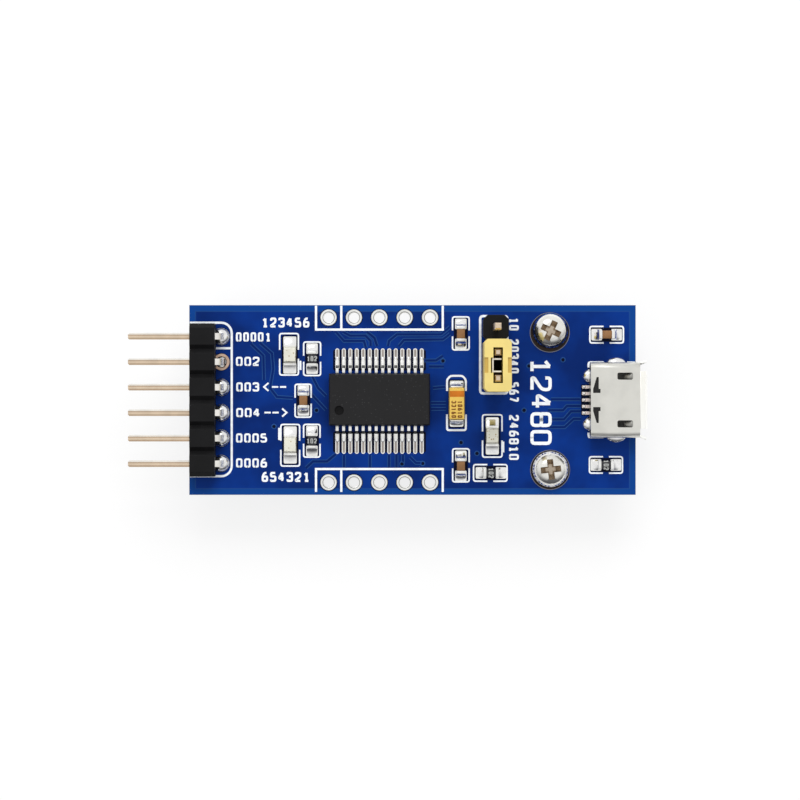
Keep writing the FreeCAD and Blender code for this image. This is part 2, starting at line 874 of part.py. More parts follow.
def end_fillets(place, half_length, reach, width, height):
    """Solder that climbs both ends of a part, in two slopes for its hollow curve."""
    x, y, along = place
    rise = height * solder_climb
    fillets = []
    for side in (1, -1):
        end = y + side * half_length
        sag = y + side * (half_length + (reach - half_length) * solder_sag)
        fillet = prism(
            "YZ", x - width / 2, width,
            (end, board_top), (y + side * reach, board_top),
            (sag, board_top + rise * solder_sag), (end, board_top + rise),
        )
        fillets.append(laid(fillet, x, y, along))
    return fillets


def component_solder():
    """The solder of every small part."""
    solder = []
    half = chip_part_length / 2
    size = (chip_part_solder_reach, chip_part_solder_width)
    for place in capacitor_places:
        solder += end_fillets(place, half, *size, capacitor_height)
    for place in resistor_places:
        solder += end_fillets(place, half, *size, resistor_height)
    for place in lamp_places:
        solder += end_fillets(place, lamp_length / 2, lamp_solder_reach, lamp_solder_width,
                              lamp_base_height)
    tantalum_end = tantalum_length / 2 + 1.5 * tantalum_terminal_thickness
    solder += end_fillets((tantalum_x, tantalum_y, "Y"), tantalum_end, tantalum_solder_reach,
                          tantalum_solder_width, tantalum_height / 2)
    return solder


os.makedirs("parts", exist_ok=True)

save("pcb", circuit_board())

save("header_block", header_block())
for number, place in enumerate(header_pins, 1):
    save(f"header_pin_{number}", header_pin(*place))
save("pin_solder", *pin_solder())

save("jumper_block", jumper_block())
for number, place in enumerate(jumper_pins, 1):
    save(f"jumper_post_{number}", jumper_post(*place))
save("jumper_cap", jumper_cap())
save("jumper_clip", jumper_clip())

save("chip_body", chip_body())
save("chip_leads", *chip_leads())

save("socket_shell", socket_shell())
save("socket_insert", socket_insert())
for number, place in enumerate(contact_places, 1):
    save(f"socket_contact_{number}", socket_contact(place))
save("socket_solder", *socket_solder())

save("screw_upper", screw(screw_places["upper"], upper_screw_turn))
save("screw_lower", screw(screw_places["lower"], lower_screw_turn))
save("spacer_upper", spacer(screw_places["upper"], upper_spacer_turn))
save("spacer_lower", spacer(screw_places["lower"], lower_spacer_turn))

save("tantalum_case", tantalum_case())
save("tantalum_terminals", *tantalum_terminals())
for number, place in enumerate(capacitor_places, 1):
    save(f"capacitor_body_{number}", small_body(*place, capacitor_height))
    save(f"capacitor_ends_{number}", *small_ends(*place, capacitor_height))
for number, place in enumerate(resistor_places, 1):
    save(f"resistor_body_{number}", small_body(*place, resistor_height))
    save(f"resistor_ends_{number}", *small_ends(*place, resistor_height))
for number, place in enumerate(lamp_places, 1):
    save(f"lamp_base_{number}", lamp_base(*place))
    save(f"lamp_lens_{number}", lamp_lens(*place))
    save(f"lamp_ends_{number}", *lamp_ends(*place))
save("component_solder", *component_solder())
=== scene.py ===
import math

import bmesh
import bpy
from bpy.props import FloatProperty, FloatVectorProperty, PointerProperty
from mathutils import Matrix, Vector


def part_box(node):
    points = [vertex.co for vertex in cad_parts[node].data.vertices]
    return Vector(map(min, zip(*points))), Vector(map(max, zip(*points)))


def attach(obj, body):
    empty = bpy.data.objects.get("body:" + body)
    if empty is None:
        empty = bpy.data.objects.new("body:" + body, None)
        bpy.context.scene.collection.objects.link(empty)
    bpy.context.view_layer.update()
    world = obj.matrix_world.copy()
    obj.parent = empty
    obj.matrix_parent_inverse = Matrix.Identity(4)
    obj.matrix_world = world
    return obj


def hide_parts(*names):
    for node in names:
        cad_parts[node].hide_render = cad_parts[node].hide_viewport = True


bl_info = {
    "name": "Serial adapter module",
    "version": (1, 0, 0),
    "blender": (4, 5, 0),
    "location": "View3D > Sidebar > Adapter",
    "description": "Dresses the packed serial adapter module with its finishes and fine detail",
    "category": "Object",
}

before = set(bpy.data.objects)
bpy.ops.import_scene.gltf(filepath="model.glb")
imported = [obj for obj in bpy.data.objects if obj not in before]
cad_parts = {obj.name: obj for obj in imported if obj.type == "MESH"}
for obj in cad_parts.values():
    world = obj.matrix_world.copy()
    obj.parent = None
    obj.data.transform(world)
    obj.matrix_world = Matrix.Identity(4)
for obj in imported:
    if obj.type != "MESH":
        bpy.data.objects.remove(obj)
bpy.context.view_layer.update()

# Sizes are in millimetres. X and Y are measured from the middle of the board, Z from its top.
MM = 0.001
board_low, board_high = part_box("pcb")
board_middle = (board_low + board_high) / 2
BOARD_FRAME = (Matrix.Translation((board_middle.x, board_middle.y, board_high.z))
               @ Matrix.Scale(MM, 4))
THICKNESS = (board_high.z - board_low.z) / MM

PITCH = 2.54
SIDES = (1, -1)
OPEN_HOLES = [(-3.32 + i * PITCH, side * 8.255) for side in SIDES for i in range(-2, 3)]
HEADER_PINS = [(-19.15, (2.5 - i) * PITCH) for i in range(6)]
BARE_PIN = 1
JUMPER_PINS = [(8.28, 4.65 + (1 - i) * PITCH) for i in range(3)]
SCREWS = [(13.8, 6.93), (13.8, -6.93)]
CHIP_X = -3.3
CHIP_Y = 0.05
FINE_PITCH = 0.65
LEADS = [(CHIP_X + (i - 6.5) * FINE_PITCH, side) for i in range(14) for side in SIDES]
CONTACT_ROWS = [i * FINE_PITCH for i in range(-2, 3)]
TANTALUM = (4.42, -0.37)
CAPACITORS = [(-10.92, -0.04, "Y"), (4.84, 6.62, "Y"), (4.84, -6.6, "Y"), (19.44, 6.54, "X")]
RESISTORS = [(-10.05, 4.14, "Y"), (-10.07, -4.09, "Y"), (7.86, -7.3, "X"), (19.37, -6.5, "X")]
LAMPS = [(-12.28, 4.5, "Y"), (-12.24, -4.5, "Y"), (7.99, -3.6, "Y")]
PAD_TOP = 0.035
# Each kind of small part: its places, the offset, length, width and corner of its pads, the length
# and width of the mask well round it, a dark plate that is partly painted shade under the part, and
# the start, reach, width and height of its solder
SMALL_PARTS = [
    (CAPACITORS, (1.0, 1.06, 1.15, 0.12), (3.28, 1.4), (0.79, 1.45, 1.04, 0.5)),
    (RESISTORS, (1.0, 1.06, 1.15, 0.12), (3.28, 1.4), (0.79, 1.45, 1.04, 0.3)),
    (LAMPS, (1.31, 1.1, 1.3, 0.14), (3.98, 1.62), (1.04, 1.75, 1.2, 0.2)),
    ([(*TANTALUM, "Y")], (1.6, 1.4, 1.35, 0.14), (4.86, 1.66), (1.7, 2.25, 1.3, 0.6)),
]


def shade(red, green, blue):
    """A linear colour from display values of 0 to 255."""
    return tuple(
        part / 12.92 if part <= 0.04045 else ((part + 0.055) / 1.055) ** 2.4
        for part in (red / 255, green / 255, blue / 255)
    )


def toned(colour, *shares):
    """A colour times one share, or times a share for each of its parts."""
    return tuple(part * share for part, share in zip(colour, shares * 3))


def colour_property(name, description, *display):
    """A colour that the user may change."""
    return FloatVectorProperty(name=name, description=description, subtype="COLOR", size=3,
                               min=0, max=1, default=shade(*display))


def number_property(name, description, default, low=0.0, **kind):
    """A number that the user may change."""
    return FloatProperty(name=name, description=description, default=default, min=low, **kind)


def length_property(name, description, millimetres):
    """A length that the user may change."""
    return number_property(name, description, millimetres * MM, unit="LENGTH", precision=6)


class BoardSettings(bpy.types.PropertyGroup):
    mask: colour_property("Mask", "Blue mask over the copper", 5, 47, 125)
    mask_deep: colour_property("Deep mask", "Blue mask where it is thickest", 4, 34, 97)
    mask_gap: colour_property("Mask gap", "Mask over the bare laminate beside a track", 34, 72, 128)
    rim: colour_property("Rim", "Mask over the strip without copper along the edges", 10, 59, 129)
    # The mask well is partly the mask's own dark step round a pad, partly painted shade between the
    # chip's leads and under the small parts
    mask_and_painted_shade_well: colour_property("Mask well", "Dark step of the mask round a pad", 8, 14, 38)
    laminate: colour_property("Laminate", "Cut edge of the laminate", 150, 158, 112)
    ink: colour_property("Ink", "Printed lines and numbers", 236, 240, 244)
    rim_width: length_property("Rim width", "Strip without copper along the edges", 0.56)
    ink_height: length_property("Ink height", "Thickness of the print", 0.022)
    copper_height: length_property("Copper height", "Thickness of the pads", 0.035)


class MetalSettings(bpy.types.PropertyGroup):
    tin: colour_property("Tin", "Tinned pads and leads", 255, 255, 252)
    solder: colour_property("Solder", "Solder of the joints", 255, 255, 254)
    pin: colour_property("Pin", "Plated square pins", 236, 214, 188)
    ring: colour_property("Bare ring", "Ring of the pin that has no solder on top", 222, 192, 172)
    steel: colour_property("Steel", "Socket shell", 232, 231, 224)
    screw: colour_property("Screws", "Plated screws", 250, 249, 243)
    brass: colour_property("Brass", "Hexagonal spacers", 214, 178, 104)
    bronze: colour_property("Bronze", "Spring clip in the cap", 252, 244, 228)


class PlasticSettings(bpy.types.PropertyGroup):
    block: colour_property("Block", "Black blocks of the header and the jumper", 18, 18, 19)
    chip: colour_property("Chip", "Moulded body of the chip", 33, 33, 34)
    cap: colour_property("Cap", "Yellow cap of the jumper", 222, 200, 120)
    tantalum: colour_property("Tantalum", "Case of the tantalum capacitor", 216, 180, 84)
    band: colour_property("Band", "Band of the tantalum capacitor", 196, 112, 30)
    marks: colour_property("Marks", "Numbers on the tantalum capacitor", 120, 74, 30)
    ceramic: colour_property("Ceramic", "Body of the ceramic capacitors", 134, 94, 54)
    resistor: colour_property("Resistor", "Glaze of the chip resistors", 30, 30, 33)
    lens: colour_property("Lens", "Lens of the indicator lamps", 240, 238, 222)
    edge: length_property("Edge", "Rounding of the moulded edges", 0.07)


class StageSettings(bpy.types.PropertyGroup):
    floor: colour_property("Floor", "Floor under the module", 252, 252, 252)
    contact_reach: length_property("Contact reach", "Reach of the shade under the module", 5.0)
    floor_size: number_property("Floor size", "Side of the floor", 0.8, 0.1, unit="LENGTH")
    sky: number_property("Sky", "Strength of the soft light all round", 0.86)
    key: number_property("Key", "Power of the large lamp", 1.5, unit="POWER")
    camera_height: number_property("Camera height", "Camera above the board", 0.28, 0.05,
                                   unit="LENGTH")
    camera_lens: number_property("Camera lens", "Focal length", 125.83, 10.0, unit="CAMERA")


# Meshes

def arc(x, y, radius, start, end, steps=8):
    """Points along an arc, with its angles in degrees."""
    turns = [math.radians(start + (end - start) * i / steps) for i in range(steps + 1)]
    return [(x + radius * math.cos(turn), y + radius * math.sin(turn)) for turn in turns]


def rounded(x, y, width, height, radius, steps=5):
    """The outline of a rectangle with round corners."""
    right, top = x + width / 2 - radius, y + height / 2 - radius
    left, bottom = x - width / 2 + radius, y - height / 2 + radius
    corners = ((right, top), (left, top), (left, bottom), (right, bottom))
    return [point for i, corner in enumerate(corners)
            for point in arc(*corner, radius, 90 * i, 90 * (i + 1), steps)]


def raise_faces(bm, faces, height, slot):
    """Turns flat faces into a plate."""
    grown = bmesh.ops.extrude_face_region(bm, geom=faces)["geom"]
    corners = [part for part in grown if isinstance(part, bmesh.types.BMVert)]
    bmesh.ops.translate(bm, verts=corners, vec=(0, 0, height))
    for face in {*faces, *(face for corner in corners for face in corner.link_faces)}:
        face.material_index = slot


def plate(bm, points, low, high, slot=0):
    """A flat plate of any outline."""
    face = bm.faces.new([bm.verts.new((x, y, low)) for x, y in points])
    raise_faces(bm, [face], high - low, slot)


def ribbon(bm, points, width, low, high, slot=0):
    """A flat strip of one width along a line of points, mitred at its corners."""
    places = [Vector(point) for point in points]
    runs = [(after - before).normalized() for before, after in zip(places, places[1:])]
    rows = []
    for place, *beside in zip(places, runs[:1] + runs, runs + runs[-1:]):
        first, second = (Vector((-run.y, run.x)) for run in beside)
        offset = (first + second) / (1 + first.dot(second)) * width / 2
        rows.append([bm.verts.new((*corner, low)) for corner in (place + offset, place - offset)])
    faces = [bm.faces.new((near[0], near[1], far[1], far[0])) for near, far in zip(rows, rows[1:])]
    raise_faces(bm, faces, high - low, slot)


def revolve(bm, profile, x, y, steps=40, slot=0):
    """A closed profile of radii and heights, turned round an upright line."""
    corners = [bm.verts.new((x + radius, y, z)) for radius, z in profile]
    edges = [bm.edges.new(pair) for pair in zip(corners, corners[1:] + corners[:1])]
    known = set(bm.faces)
    bmesh.ops.spin(bm, geom=corners + edges, cent=(x, y, 0), axis=(0, 0, 1),
                   angle=math.tau, steps=steps, use_merge=True)
    for face in set(bm.faces) - known:
        face.material_index = slot


def ring(bm, x, y, inner, outer, low, thick, steps=40, slot=0):
    """A flat ring."""
    high = low + thick
    revolve(bm, [(inner, low), (outer, low), (outer, high), (inner, high)], x, y, steps, slot)


def bead(bm, x, y, half_x, half_y, height, low=0.0):
    """A flattened drop of solder on a level face."""
    place = Matrix.Translation((x, y, low)) @ Matrix.Diagonal((half_x, half_y, height, 1))
    known = set(bm.faces)
    bmesh.ops.create_uvsphere(bm, u_segments=16, v_segments=8, radius=1, matrix=place)
    parts = {part for face in set(bm.faces) - known for part in (*face.verts, *face.edges, face)}
    cut = bmesh.ops.bisect_plane(bm, geom=list(parts), dist=1e-5, plane_co=(x, y, low),
                                 plane_no=(0, 0, 1 if height > 0 else -1), clear_inner=True)
    rim = [part for part in cut["geom_cut"] if isinstance(part, bmesh.types.BMEdge)]
    bmesh.ops.edgeloop_fill(bm, edges=rim)


def pool(bm, place, side, start, reach, width, height, steps=8):
    """A hollow-sloped fillet of solder from the end of a part out over its pad."""
    x, y, along = place
    grid = bmesh.ops.create_grid(bm, x_segments=steps, y_segments=steps, size=0.5)["verts"]
    for corner in grid:
        out = corner.co.x + 0.5
        across = corner.co.y * 2
        fall = (1 - out) ** 2.2 * (1 - 0.30 * across ** 2)
        skirt = 0.05 * (1 - out ** 4) * (1 - across ** 6) + 0.012
        u = side * (start + (reach - start) * out * (1 - 0.10 * across ** 4))
        v = across * width / 2 * (1 - 0.16 * out ** 3)
        z = height * fall + skirt
        corner.co = (x + u, y + v, z) if along == "X" else (x + v, y + u, z)
    rim = {edge for corner in grid for edge in corner.link_edges if edge.is_boundary}
    grown = bmesh.ops.extrude_edge_only(bm, edges=list(rim))["geom"]
    feet = {part for part in grown if isinstance(part, bmesh.types.BMVert)}
    for foot in feet:
        foot.co.z = 0
    bmesh.ops.edgeloop_fill(bm, edges=[part for part in grown
                                       if isinstance(part, bmesh.types.BMEdge)
                                       and feet.issuperset(part.verts)])


def numerals(bm, words, span, height, stroke, x, y, low, high, turn=0, slot=0):
    """Numbers in even strokes that fill a span, centred on a place."""
    step = (span + 0.9 * stroke) / len(words)
    width = step - 1.9 * stroke
    place = Matrix.Translation((x, y, 0)) @ Matrix.Rotation(math.radians(turn), 4, "Z")
    for i, digit in enumerate(words):
        if digit == " ":
            continue
        left = (i - (len(words) - 1) / 2) * step - width / 2
        for number, points in enumerate(DIGITS[digit]):
            line = [(place @ Vector((left + u * width, (v - 0.5) * (height - stroke), 0))).xy
                    for u, v in points]
            ribbon(bm, eased(line, min(width * 0.3, height * 0.2)), stroke, low,
                   high + number * LAYER, slot=slot)


def add_piece(name, bm, materials, body="board", replaces=(), angle=35.0):
    """Makes a finished piece of a mesh drawn in millimetres, and ties it to its body."""
    bmesh.ops.remove_doubles(bm, verts=bm.verts, dist=0.0005)
    bmesh.ops.recalc_face_normals(bm, faces=bm.faces)
    bm.transform(BOARD_FRAME)
    mesh = bpy.data.meshes.new(name)
    bm.to_mesh(mesh)
    bm.free()
    if "custom_normal" in mesh.attributes:
        mesh.attributes.remove(mesh.attributes["custom_normal"])
    mesh.shade_smooth()
    mesh.set_sharp_from_angle(angle=math.radians(angle))
    for material in materials:
        mesh.materials.append(material)
    piece = bpy.data.objects.new(name, mesh)
    bpy.context.scene.collection.objects.link(piece)
    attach(piece, body)
    if replaces:
        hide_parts(*replaces)
    return piece


def node_mesh(node):
    """A joined-up copy of a CAD node, in millimetres on the board."""
    bm = bmesh.new()
    bm.from_mesh(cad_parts[node].data)
    bm.transform(BOARD_FRAME.inverted())
    bmesh.ops.remove_doubles(bm, verts=bm.verts, dist=0.002)
    bmesh.ops.dissolve_limit(bm, angle_limit=math.radians(0.6), verts=bm.verts, edges=bm.edges,
                             use_dissolve_boundaries=False)
    return bm


def softened(node, name, width, materials, body="board", segments=2, paint=None,
             smooth=50.0, reshape=None):
    """A CAD node with its sharp edges rounded, which stands for it."""
    bm = node_mesh(node)
    if reshape:
        reshape(bm)
    if width:
        sharp = [edge for edge in bm.edges if len(edge.link_faces) == 2
                 and edge.calc_face_angle() > math.radians(25)]
        bmesh.ops.bevel(bm, geom=sharp, offset=width, offset_type="OFFSET", segments=segments,
                        profile=0.5, affect="EDGES", clamp_overlap=True, material=-1)
    bm.normal_update()
    for face in bm.faces:
        face.material_index = paint(face) if paint else 0
    materials = materials if isinstance(materials, list) else [materials]
    piece = add_piece(name, bm, materials, body, [node], smooth)
    piece.modifiers.new("flat_faces", "WEIGHTED_NORMAL").keep_sharp = True


def dress(node, material):
    """Gives a CAD node its finish."""
    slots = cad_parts[node].material_slots
    if not slots:
        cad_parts[node].data.materials.append(material)
    for slot in slots:
        slot.material = material


# Effects that several finishes share

def effect(name, inputs, outputs):
    """A new node group on a place, with its other inputs and their defaults, and its results."""
    tree = bpy.data.node_groups.new(name, "ShaderNodeTree")
    tree.interface.new_socket("Vector", in_out="INPUT", socket_type="NodeSocketVector")
    for label, value in inputs.items():
        kind = "NodeSocketFloat" if isinstance(value, float) else "NodeSocketVector"
        tree.interface.new_socket(label, in_out="INPUT", socket_type=kind).default_value = value
    for label in outputs:
        tree.interface.new_socket(label, in_out="OUTPUT", socket_type="NodeSocketFloat")
    given = tree.nodes.new("NodeGroupInput").outputs
    return tree, given, tree.nodes.new("NodeGroupOutput").inputs


def wire(tree, source, target):
    """Links an output to an input, or writes a plain value."""
    if isinstance(source, bpy.types.NodeSocket):
        tree.links.new(source, target)
    else:
        target.default_value = source


def add_node(tree, kind, inputs=None, **choices):
    """A new node with its choices made and its inputs wired."""
    node = tree.nodes.new("ShaderNode" + kind)
    for name, choice in choices.items():
        setattr(node, name, choice)
    for label, source in (inputs or {}).items():
        wire(tree, source, node.inputs[label])
    return node


def math_node(tree, operation, *values, kind="Math", output=0):
    """The result of a Math node or a VectorMath node."""
    node = add_node(tree, kind, dict(enumerate(values)), operation=operation)
    return node.outputs[output]


def map_range(tree, value, low, high, new_low=0.0, new_high=1.0, kind="SMOOTHSTEP"):
    """A value taken from one range to another."""
    inputs = {"Value": value, "From Min": low, "From Max": high, "To Min": new_low,
              "To Max": new_high}
    return add_node(tree, "MapRange", inputs, interpolation_type=kind).outputs["Result"]


def noise(tree, vector, scale, detail, roughness):
    """Noise at a number of features per metre."""
    inputs = {"Vector": vector, "Scale": scale, "Detail": detail, "Roughness": roughness}
    return add_node(tree, "TexNoise", inputs).outputs["Fac"]


def mix(tree, factor, *colours):
    """Two colours mixed."""
    first, second = ((*tint, 1) if isinstance(tint, tuple) else tint for tint in colours)
    return add_node(tree, "Mix", {0: factor, 6: first, 7: second}, data_type="RGBA").outputs[2]


def mottle_effect():
    """Soft patches: a mask that drifts over the surface."""
    tree, given, result = effect("Mottle", {"Scale": 400.0}, ["Mask"])
    value = noise(tree, given["Vector"], given["Scale"], 3.0, 0.55)
    wire(tree, map_range(tree, value, 0.34, 0.66), result["Mask"])
    return tree


def grain_effect():
    """Fine surface grain, as a height."""
    tree, given, result = effect("Grain", {"Scale": 6000.0}, ["Height"])
    wire(tree, noise(tree, given["Vector"], given["Scale"], 4.0, 0.6), result["Height"])
    return tree


def brushed_effect():
    """Drawn lines along X, as a mask and a height."""
    tree, given, result = effect("Drawn lines", {"Scale": 900.0, "Stretch": (0.06, 1.0, 1.0)},
                                 ["Mask", "Height"])
    scaled = math_node(tree, "MULTIPLY", given["Vector"], given["Stretch"], kind="VectorMath")
    value = noise(tree, scaled, given["Scale"], 5.0, 0.65)
    wire(tree, map_range(tree, value, 0.3, 0.7), result["Mask"])
    wire(tree, value, result["Height"])
    return tree


def speckle_effect():
    """Small scattered spots, as a mask."""
    tree, given, result = effect("Speckle", {"Scale": 3000.0, "Size": 0.25}, ["Mask"])
    inputs = {label: given[label] for label in ("Vector", "Scale")}
    cells = add_node(tree, "TexVoronoi", inputs).outputs
    near = math_node(tree, "LESS_THAN", cells["Distance"], given["Size"])
    split = add_node(tree, "SeparateColor", {0: cells["Color"]})
    some = math_node(tree, "GREATER_THAN", split.outputs[0], 0.72)
    wire(tree, math_node(tree, "MULTIPLY", near, some), result["Mask"])
    return tree


# The line inside the rim: its distance from the strip, and where it starts and ends to fade
LINE_INSET = 0.06 * MM
LINE_CORE = 0.02 * MM
LINE_EDGE = 0.08 * MM


def rim_effect():
    """The strip along the board's edges, the line inside it and the cut sides, as masks."""
    tree, given, result = effect(
        "Board rim", {"Middle": (0, 0, 0), "Half size": (0.02, 0.01, 0), "Width": 0.0005},
        ["Strip", "Line", "Side"])
    off = math_node(tree, "SUBTRACT", given["Vector"], given["Middle"], kind="VectorMath")
    off = math_node(tree, "ABSOLUTE", off, kind="VectorMath")
    left = math_node(tree, "SUBTRACT", given["Half size"], off, kind="VectorMath")
    split = add_node(tree, "SeparateXYZ", {0: left}).outputs
    depth = math_node(tree, "MINIMUM", split["X"], split["Y"])
    inner = math_node(tree, "ADD", given["Width"], LINE_INSET)
    wire(tree, map_range(tree, depth, inner, given["Width"]), result["Strip"])
    off_line = math_node(tree, "ABSOLUTE", math_node(tree, "SUBTRACT", depth, inner))
    wire(tree, map_range(tree, off_line, LINE_EDGE, LINE_CORE), result["Line"])
    wire(tree, math_node(tree, "LESS_THAN", depth, 0.01 * MM), result["Side"])
    return tree


EFFECTS = {"mottle": mottle_effect, "grain": grain_effect, "brushed": brushed_effect,
           "speckle": speckle_effect, "rim": rim_effect}
made_effects = {}
made_materials = {}


def use_effect(tree, key, vector, **values):
    """Places a shared effect in a material."""
    if key not in made_effects:
        made_effects[key] = EFFECTS[key]()
    inputs = {label.replace("_", " "): value for label, value in values.items()}
    return add_node(tree, "Group", {"Vector": vector, **inputs},
                    node_tree=made_effects[key]).outputs


def new_material(name):
    """A material with its shader, and the place on the piece."""
    material = bpy.data.materials.new(name)
    material.use_nodes = True
    tree = material.node_tree
    tree.nodes.clear()
    shader = add_node(tree, "BsdfPrincipled")
    add_node(tree, "OutputMaterial", {"Surface": shader.outputs["BSDF"]})
    return material, tree, shader, add_node(tree, "TexCoord").outputs["Object"]


def bump(tree, shader, height, strength, distance):
    """Lets a height shape the shading."""
    inputs = {"Strength": strength, "Distance": distance * MM, "Height": height}
    wire(tree, add_node(tree, "Bump", inputs).outputs["Normal"], shader.inputs["Normal"])


def finish(name, colour, tone=0.85, patches=500.0, grain=5000.0, depth=0.01, metallic=0.0,
           roughness=(0.4, 0.5), specular=0.5, specks=None, drawn=None, transmission=0.0):
    """A finish with soft patches of a second tone, fine grain and uneven gloss."""
    if name in made_materials:
        return made_materials[name]
    material, tree, shader, place = new_material(name)
    colour = tuple(colour)
    second = tuple(min(1.0, part * tone) for part in colour)
    mask = use_effect(tree, "mottle", place, Scale=patches)["Mask"]
    base = mix(tree, mask, colour, second)
    if specks:
        size, tint = specks
        spots = use_effect(tree, "speckle", place, Scale=grain * 0.5, Size=size)["Mask"]
        base = mix(tree, spots, base, tint)
    height = use_effect(tree, "grain", place, Scale=grain)["Height"]
    rough = map_range(tree, mask, 0.0, 1.0, *roughness)
    if drawn:
        lines = use_effect(tree, "brushed", place, Stretch=drawn)
        height = math_node(tree, "ADD", math_node(tree, "MULTIPLY", height, 0.35), lines["Height"])
        rough = map_range(tree, lines["Mask"], 0.0, 1.0, *roughness)
    for label, source in (("Base Color", base), ("Roughness", rough), ("Metallic", metallic),
                          ("Specular IOR Level", specular),
                          ("Transmission Weight", transmission)):
        wire(tree, source, shader.inputs[label])
    bump(tree, shader, height, 0.6, depth)
    made_materials[name] = material
    return material


def metal(name, colour, roughness=(0.22, 0.32), patches=900.0, grain=2500.0, depth=0.003,
          drawn=None):
    """A bare metal finish."""
    return finish(name, colour, tone=0.9, metallic=1.0, roughness=roughness, patches=patches,
                  grain=grain, depth=depth, drawn=drawn)


def board_finish(settings):
    """The board: mask over copper and over the bare rim, and the cut edge of the laminate."""
    material, tree, shader, place = new_material("board_mask")
    half = (board_high - board_low) / 2
    rim = use_effect(tree, "rim", place, Middle=tuple(board_middle), Half_size=(half.x, half.y, 1),
                     Width=settings.rim_width)
    patches = use_effect(tree, "mottle", place, Scale=170.0)["Mask"]
    cloth = use_effect(tree, "grain", place, Scale=2600.0)["Height"]
    base = mix(tree, patches, tuple(settings.mask), tuple(settings.mask_deep))
    base = mix(tree, rim["Strip"], base, tuple(settings.rim))
    line = math_node(tree, "MULTIPLY", rim["Line"], 0.6)
    base = mix(tree, line, base, tuple(settings.mask_gap))
    layers = use_effect(tree, "brushed", place, Scale=1500.0, Stretch=(0.4, 0.4, 4.0))
    edge = mix(tree, layers["Mask"], tuple(settings.laminate), toned(settings.laminate, 0.72))
    base = mix(tree, rim["Side"], base, edge)
    wire(tree, base, shader.inputs["Base Color"])
    gloss = map_range(tree, patches, 0.0, 1.0, 0.32, 0.42)
    rough = add_node(tree, "Mix", {0: rim["Side"], 2: gloss, 3: 0.75})
    wire(tree, rough.outputs[0], shader.inputs["Roughness"])
    shader.inputs["Specular IOR Level"].default_value = 0.06
    bump(tree, shader, cloth, 0.35, 0.01)
    return material


# Pieces

class ADAPTER_OT_board(bpy.types.Operator):
    """Finishes the circuit board"""
    bl_idname = "adapter.board"
    bl_label = "Board"

    def execute(self, context):
        dress("pcb", board_finish(context.scene.adapter_board))
        return {"FINISHED"}


# Runs of the tracks, in pairs of thin lines with a core between them
TRACKS = [
    [(13.87, 0.07), (16.87, 0.07)],
    [(16.87, -0.59), (15.47, -0.59), (15.07, -1.03), (13.57, -1.03)],
    [(16.87, -1.13), (15.87, -1.13), (15.17, -1.94), (13.57, -1.94)],
    [(16.87, -1.89), (16.13, -1.89), (15.23, -2.72), (13.57, -2.72)],
    [(-16.17, 5.62), (-14.93, 4.43), (-14.87, 2.01)],
    [(-15.27, 5.72), (-14.07, 4.67), (-13.94, 3.11), (-14.27, 1.21), (-13.57, 0.31),
     (-11.97, 0.21)],
    [(-7.66, 6.82), (-6.86, 5.92), (-4.86, 5.92), (-4.66, 5.22)],
    [(-6.96, 6.82), (-6.26, 6.45), (-4.71, 6.45), (-4.2, 5.92), (-4.2, 5.42)],
    [(-4.56, 6.82), (-3.81, 6.22), (-3.55, 5.42)],
    [(-2.45, 5.42), (-2.35, 5.92), (-1.55, 6.57), (2.85, 6.57), (3.76, 7.32)],
    [(-1.35, 5.42), (-0.85, 6.02), (3.05, 6.07), (3.76, 6.62)],
    [(1.15, 3.96), (2.35, 3.96), (3.05, 4.42)],
    [(1.65, 3.36), (3.15, 3.36)],
    [(2.05, 1.21), (3.25, 1.31)],
    [(1.85, -0.29), (3.35, -0.29)],
    [(1.85, -0.89), (3.35, -0.89)],
    [(-10.77, 1.51), (-10.06, 0.51), (-8.66, -0.99)],
    [(-10.16, 2.61), (-9.46, 1.21), (-8.66, 0.41)],
    [(-10.66, -6.8), (-9.96, -6.15), (-8.56, -6.15), (-7.66, -5.4)],
    [(-6.86, -5.5), (-6.86, -6.8)],
    [(-4.26, -5.5), (-4.26, -6.8)],
    [(-2.35, -5.5), (-2.35, -6.8)],
    [(-1.6, -5.5), (-1.6, -6.8)],
    [(-0.95, -5.5), (-0.95, -6.3)],
    [(-0.25, -5.7), (0.35, -6.3), (0.95, -6.3)],
]
UNDER_TRACKS = [
    [(-18.2, 6.35), (-13.5, 6.35), (-9.4, 2.2), (6.8, 2.2), (8.28, 3.6)],
    [(-18.2, 1.27), (-12.2, 1.27), (-9.2, -1.6), (9.4, -1.6), (13.4, -1.6), (17.3, -2.4)],
    [(-18.2, -3.81), (-14.5, -3.81), (-11.6, -6.4), (1.76, -6.4), (1.76, -7.3)],
    [(-5.86, 7.3), (-5.86, 5.2), (-3.4, 3.6), (4.6, 3.6), (7.4, 6.4)],
    [(-0.78, -7.3), (-0.78, -4.4), (1.4, -3.0), (11.4, -3.0)],
]
VIAS = [(-13.87, -2.65), (-9.61, -1.03), (-1.05, -6.4), (1.02, -6.35), (3.05, 3.92), (4.86, -4.26),
        (6.46, -5.35), (15.07, 4.02), (11.67, 3.41), (11.17, -1.03)]
TRACK_WIDTH = 0.22
TRACK_GAP = 0.075


def masked(name, colour):
    """Mask over copper or laminate."""
    return finish(name, colour, tone=0.82, patches=240.0, grain=2600.0, roughness=(0.32, 0.42),
                  specular=0.06)


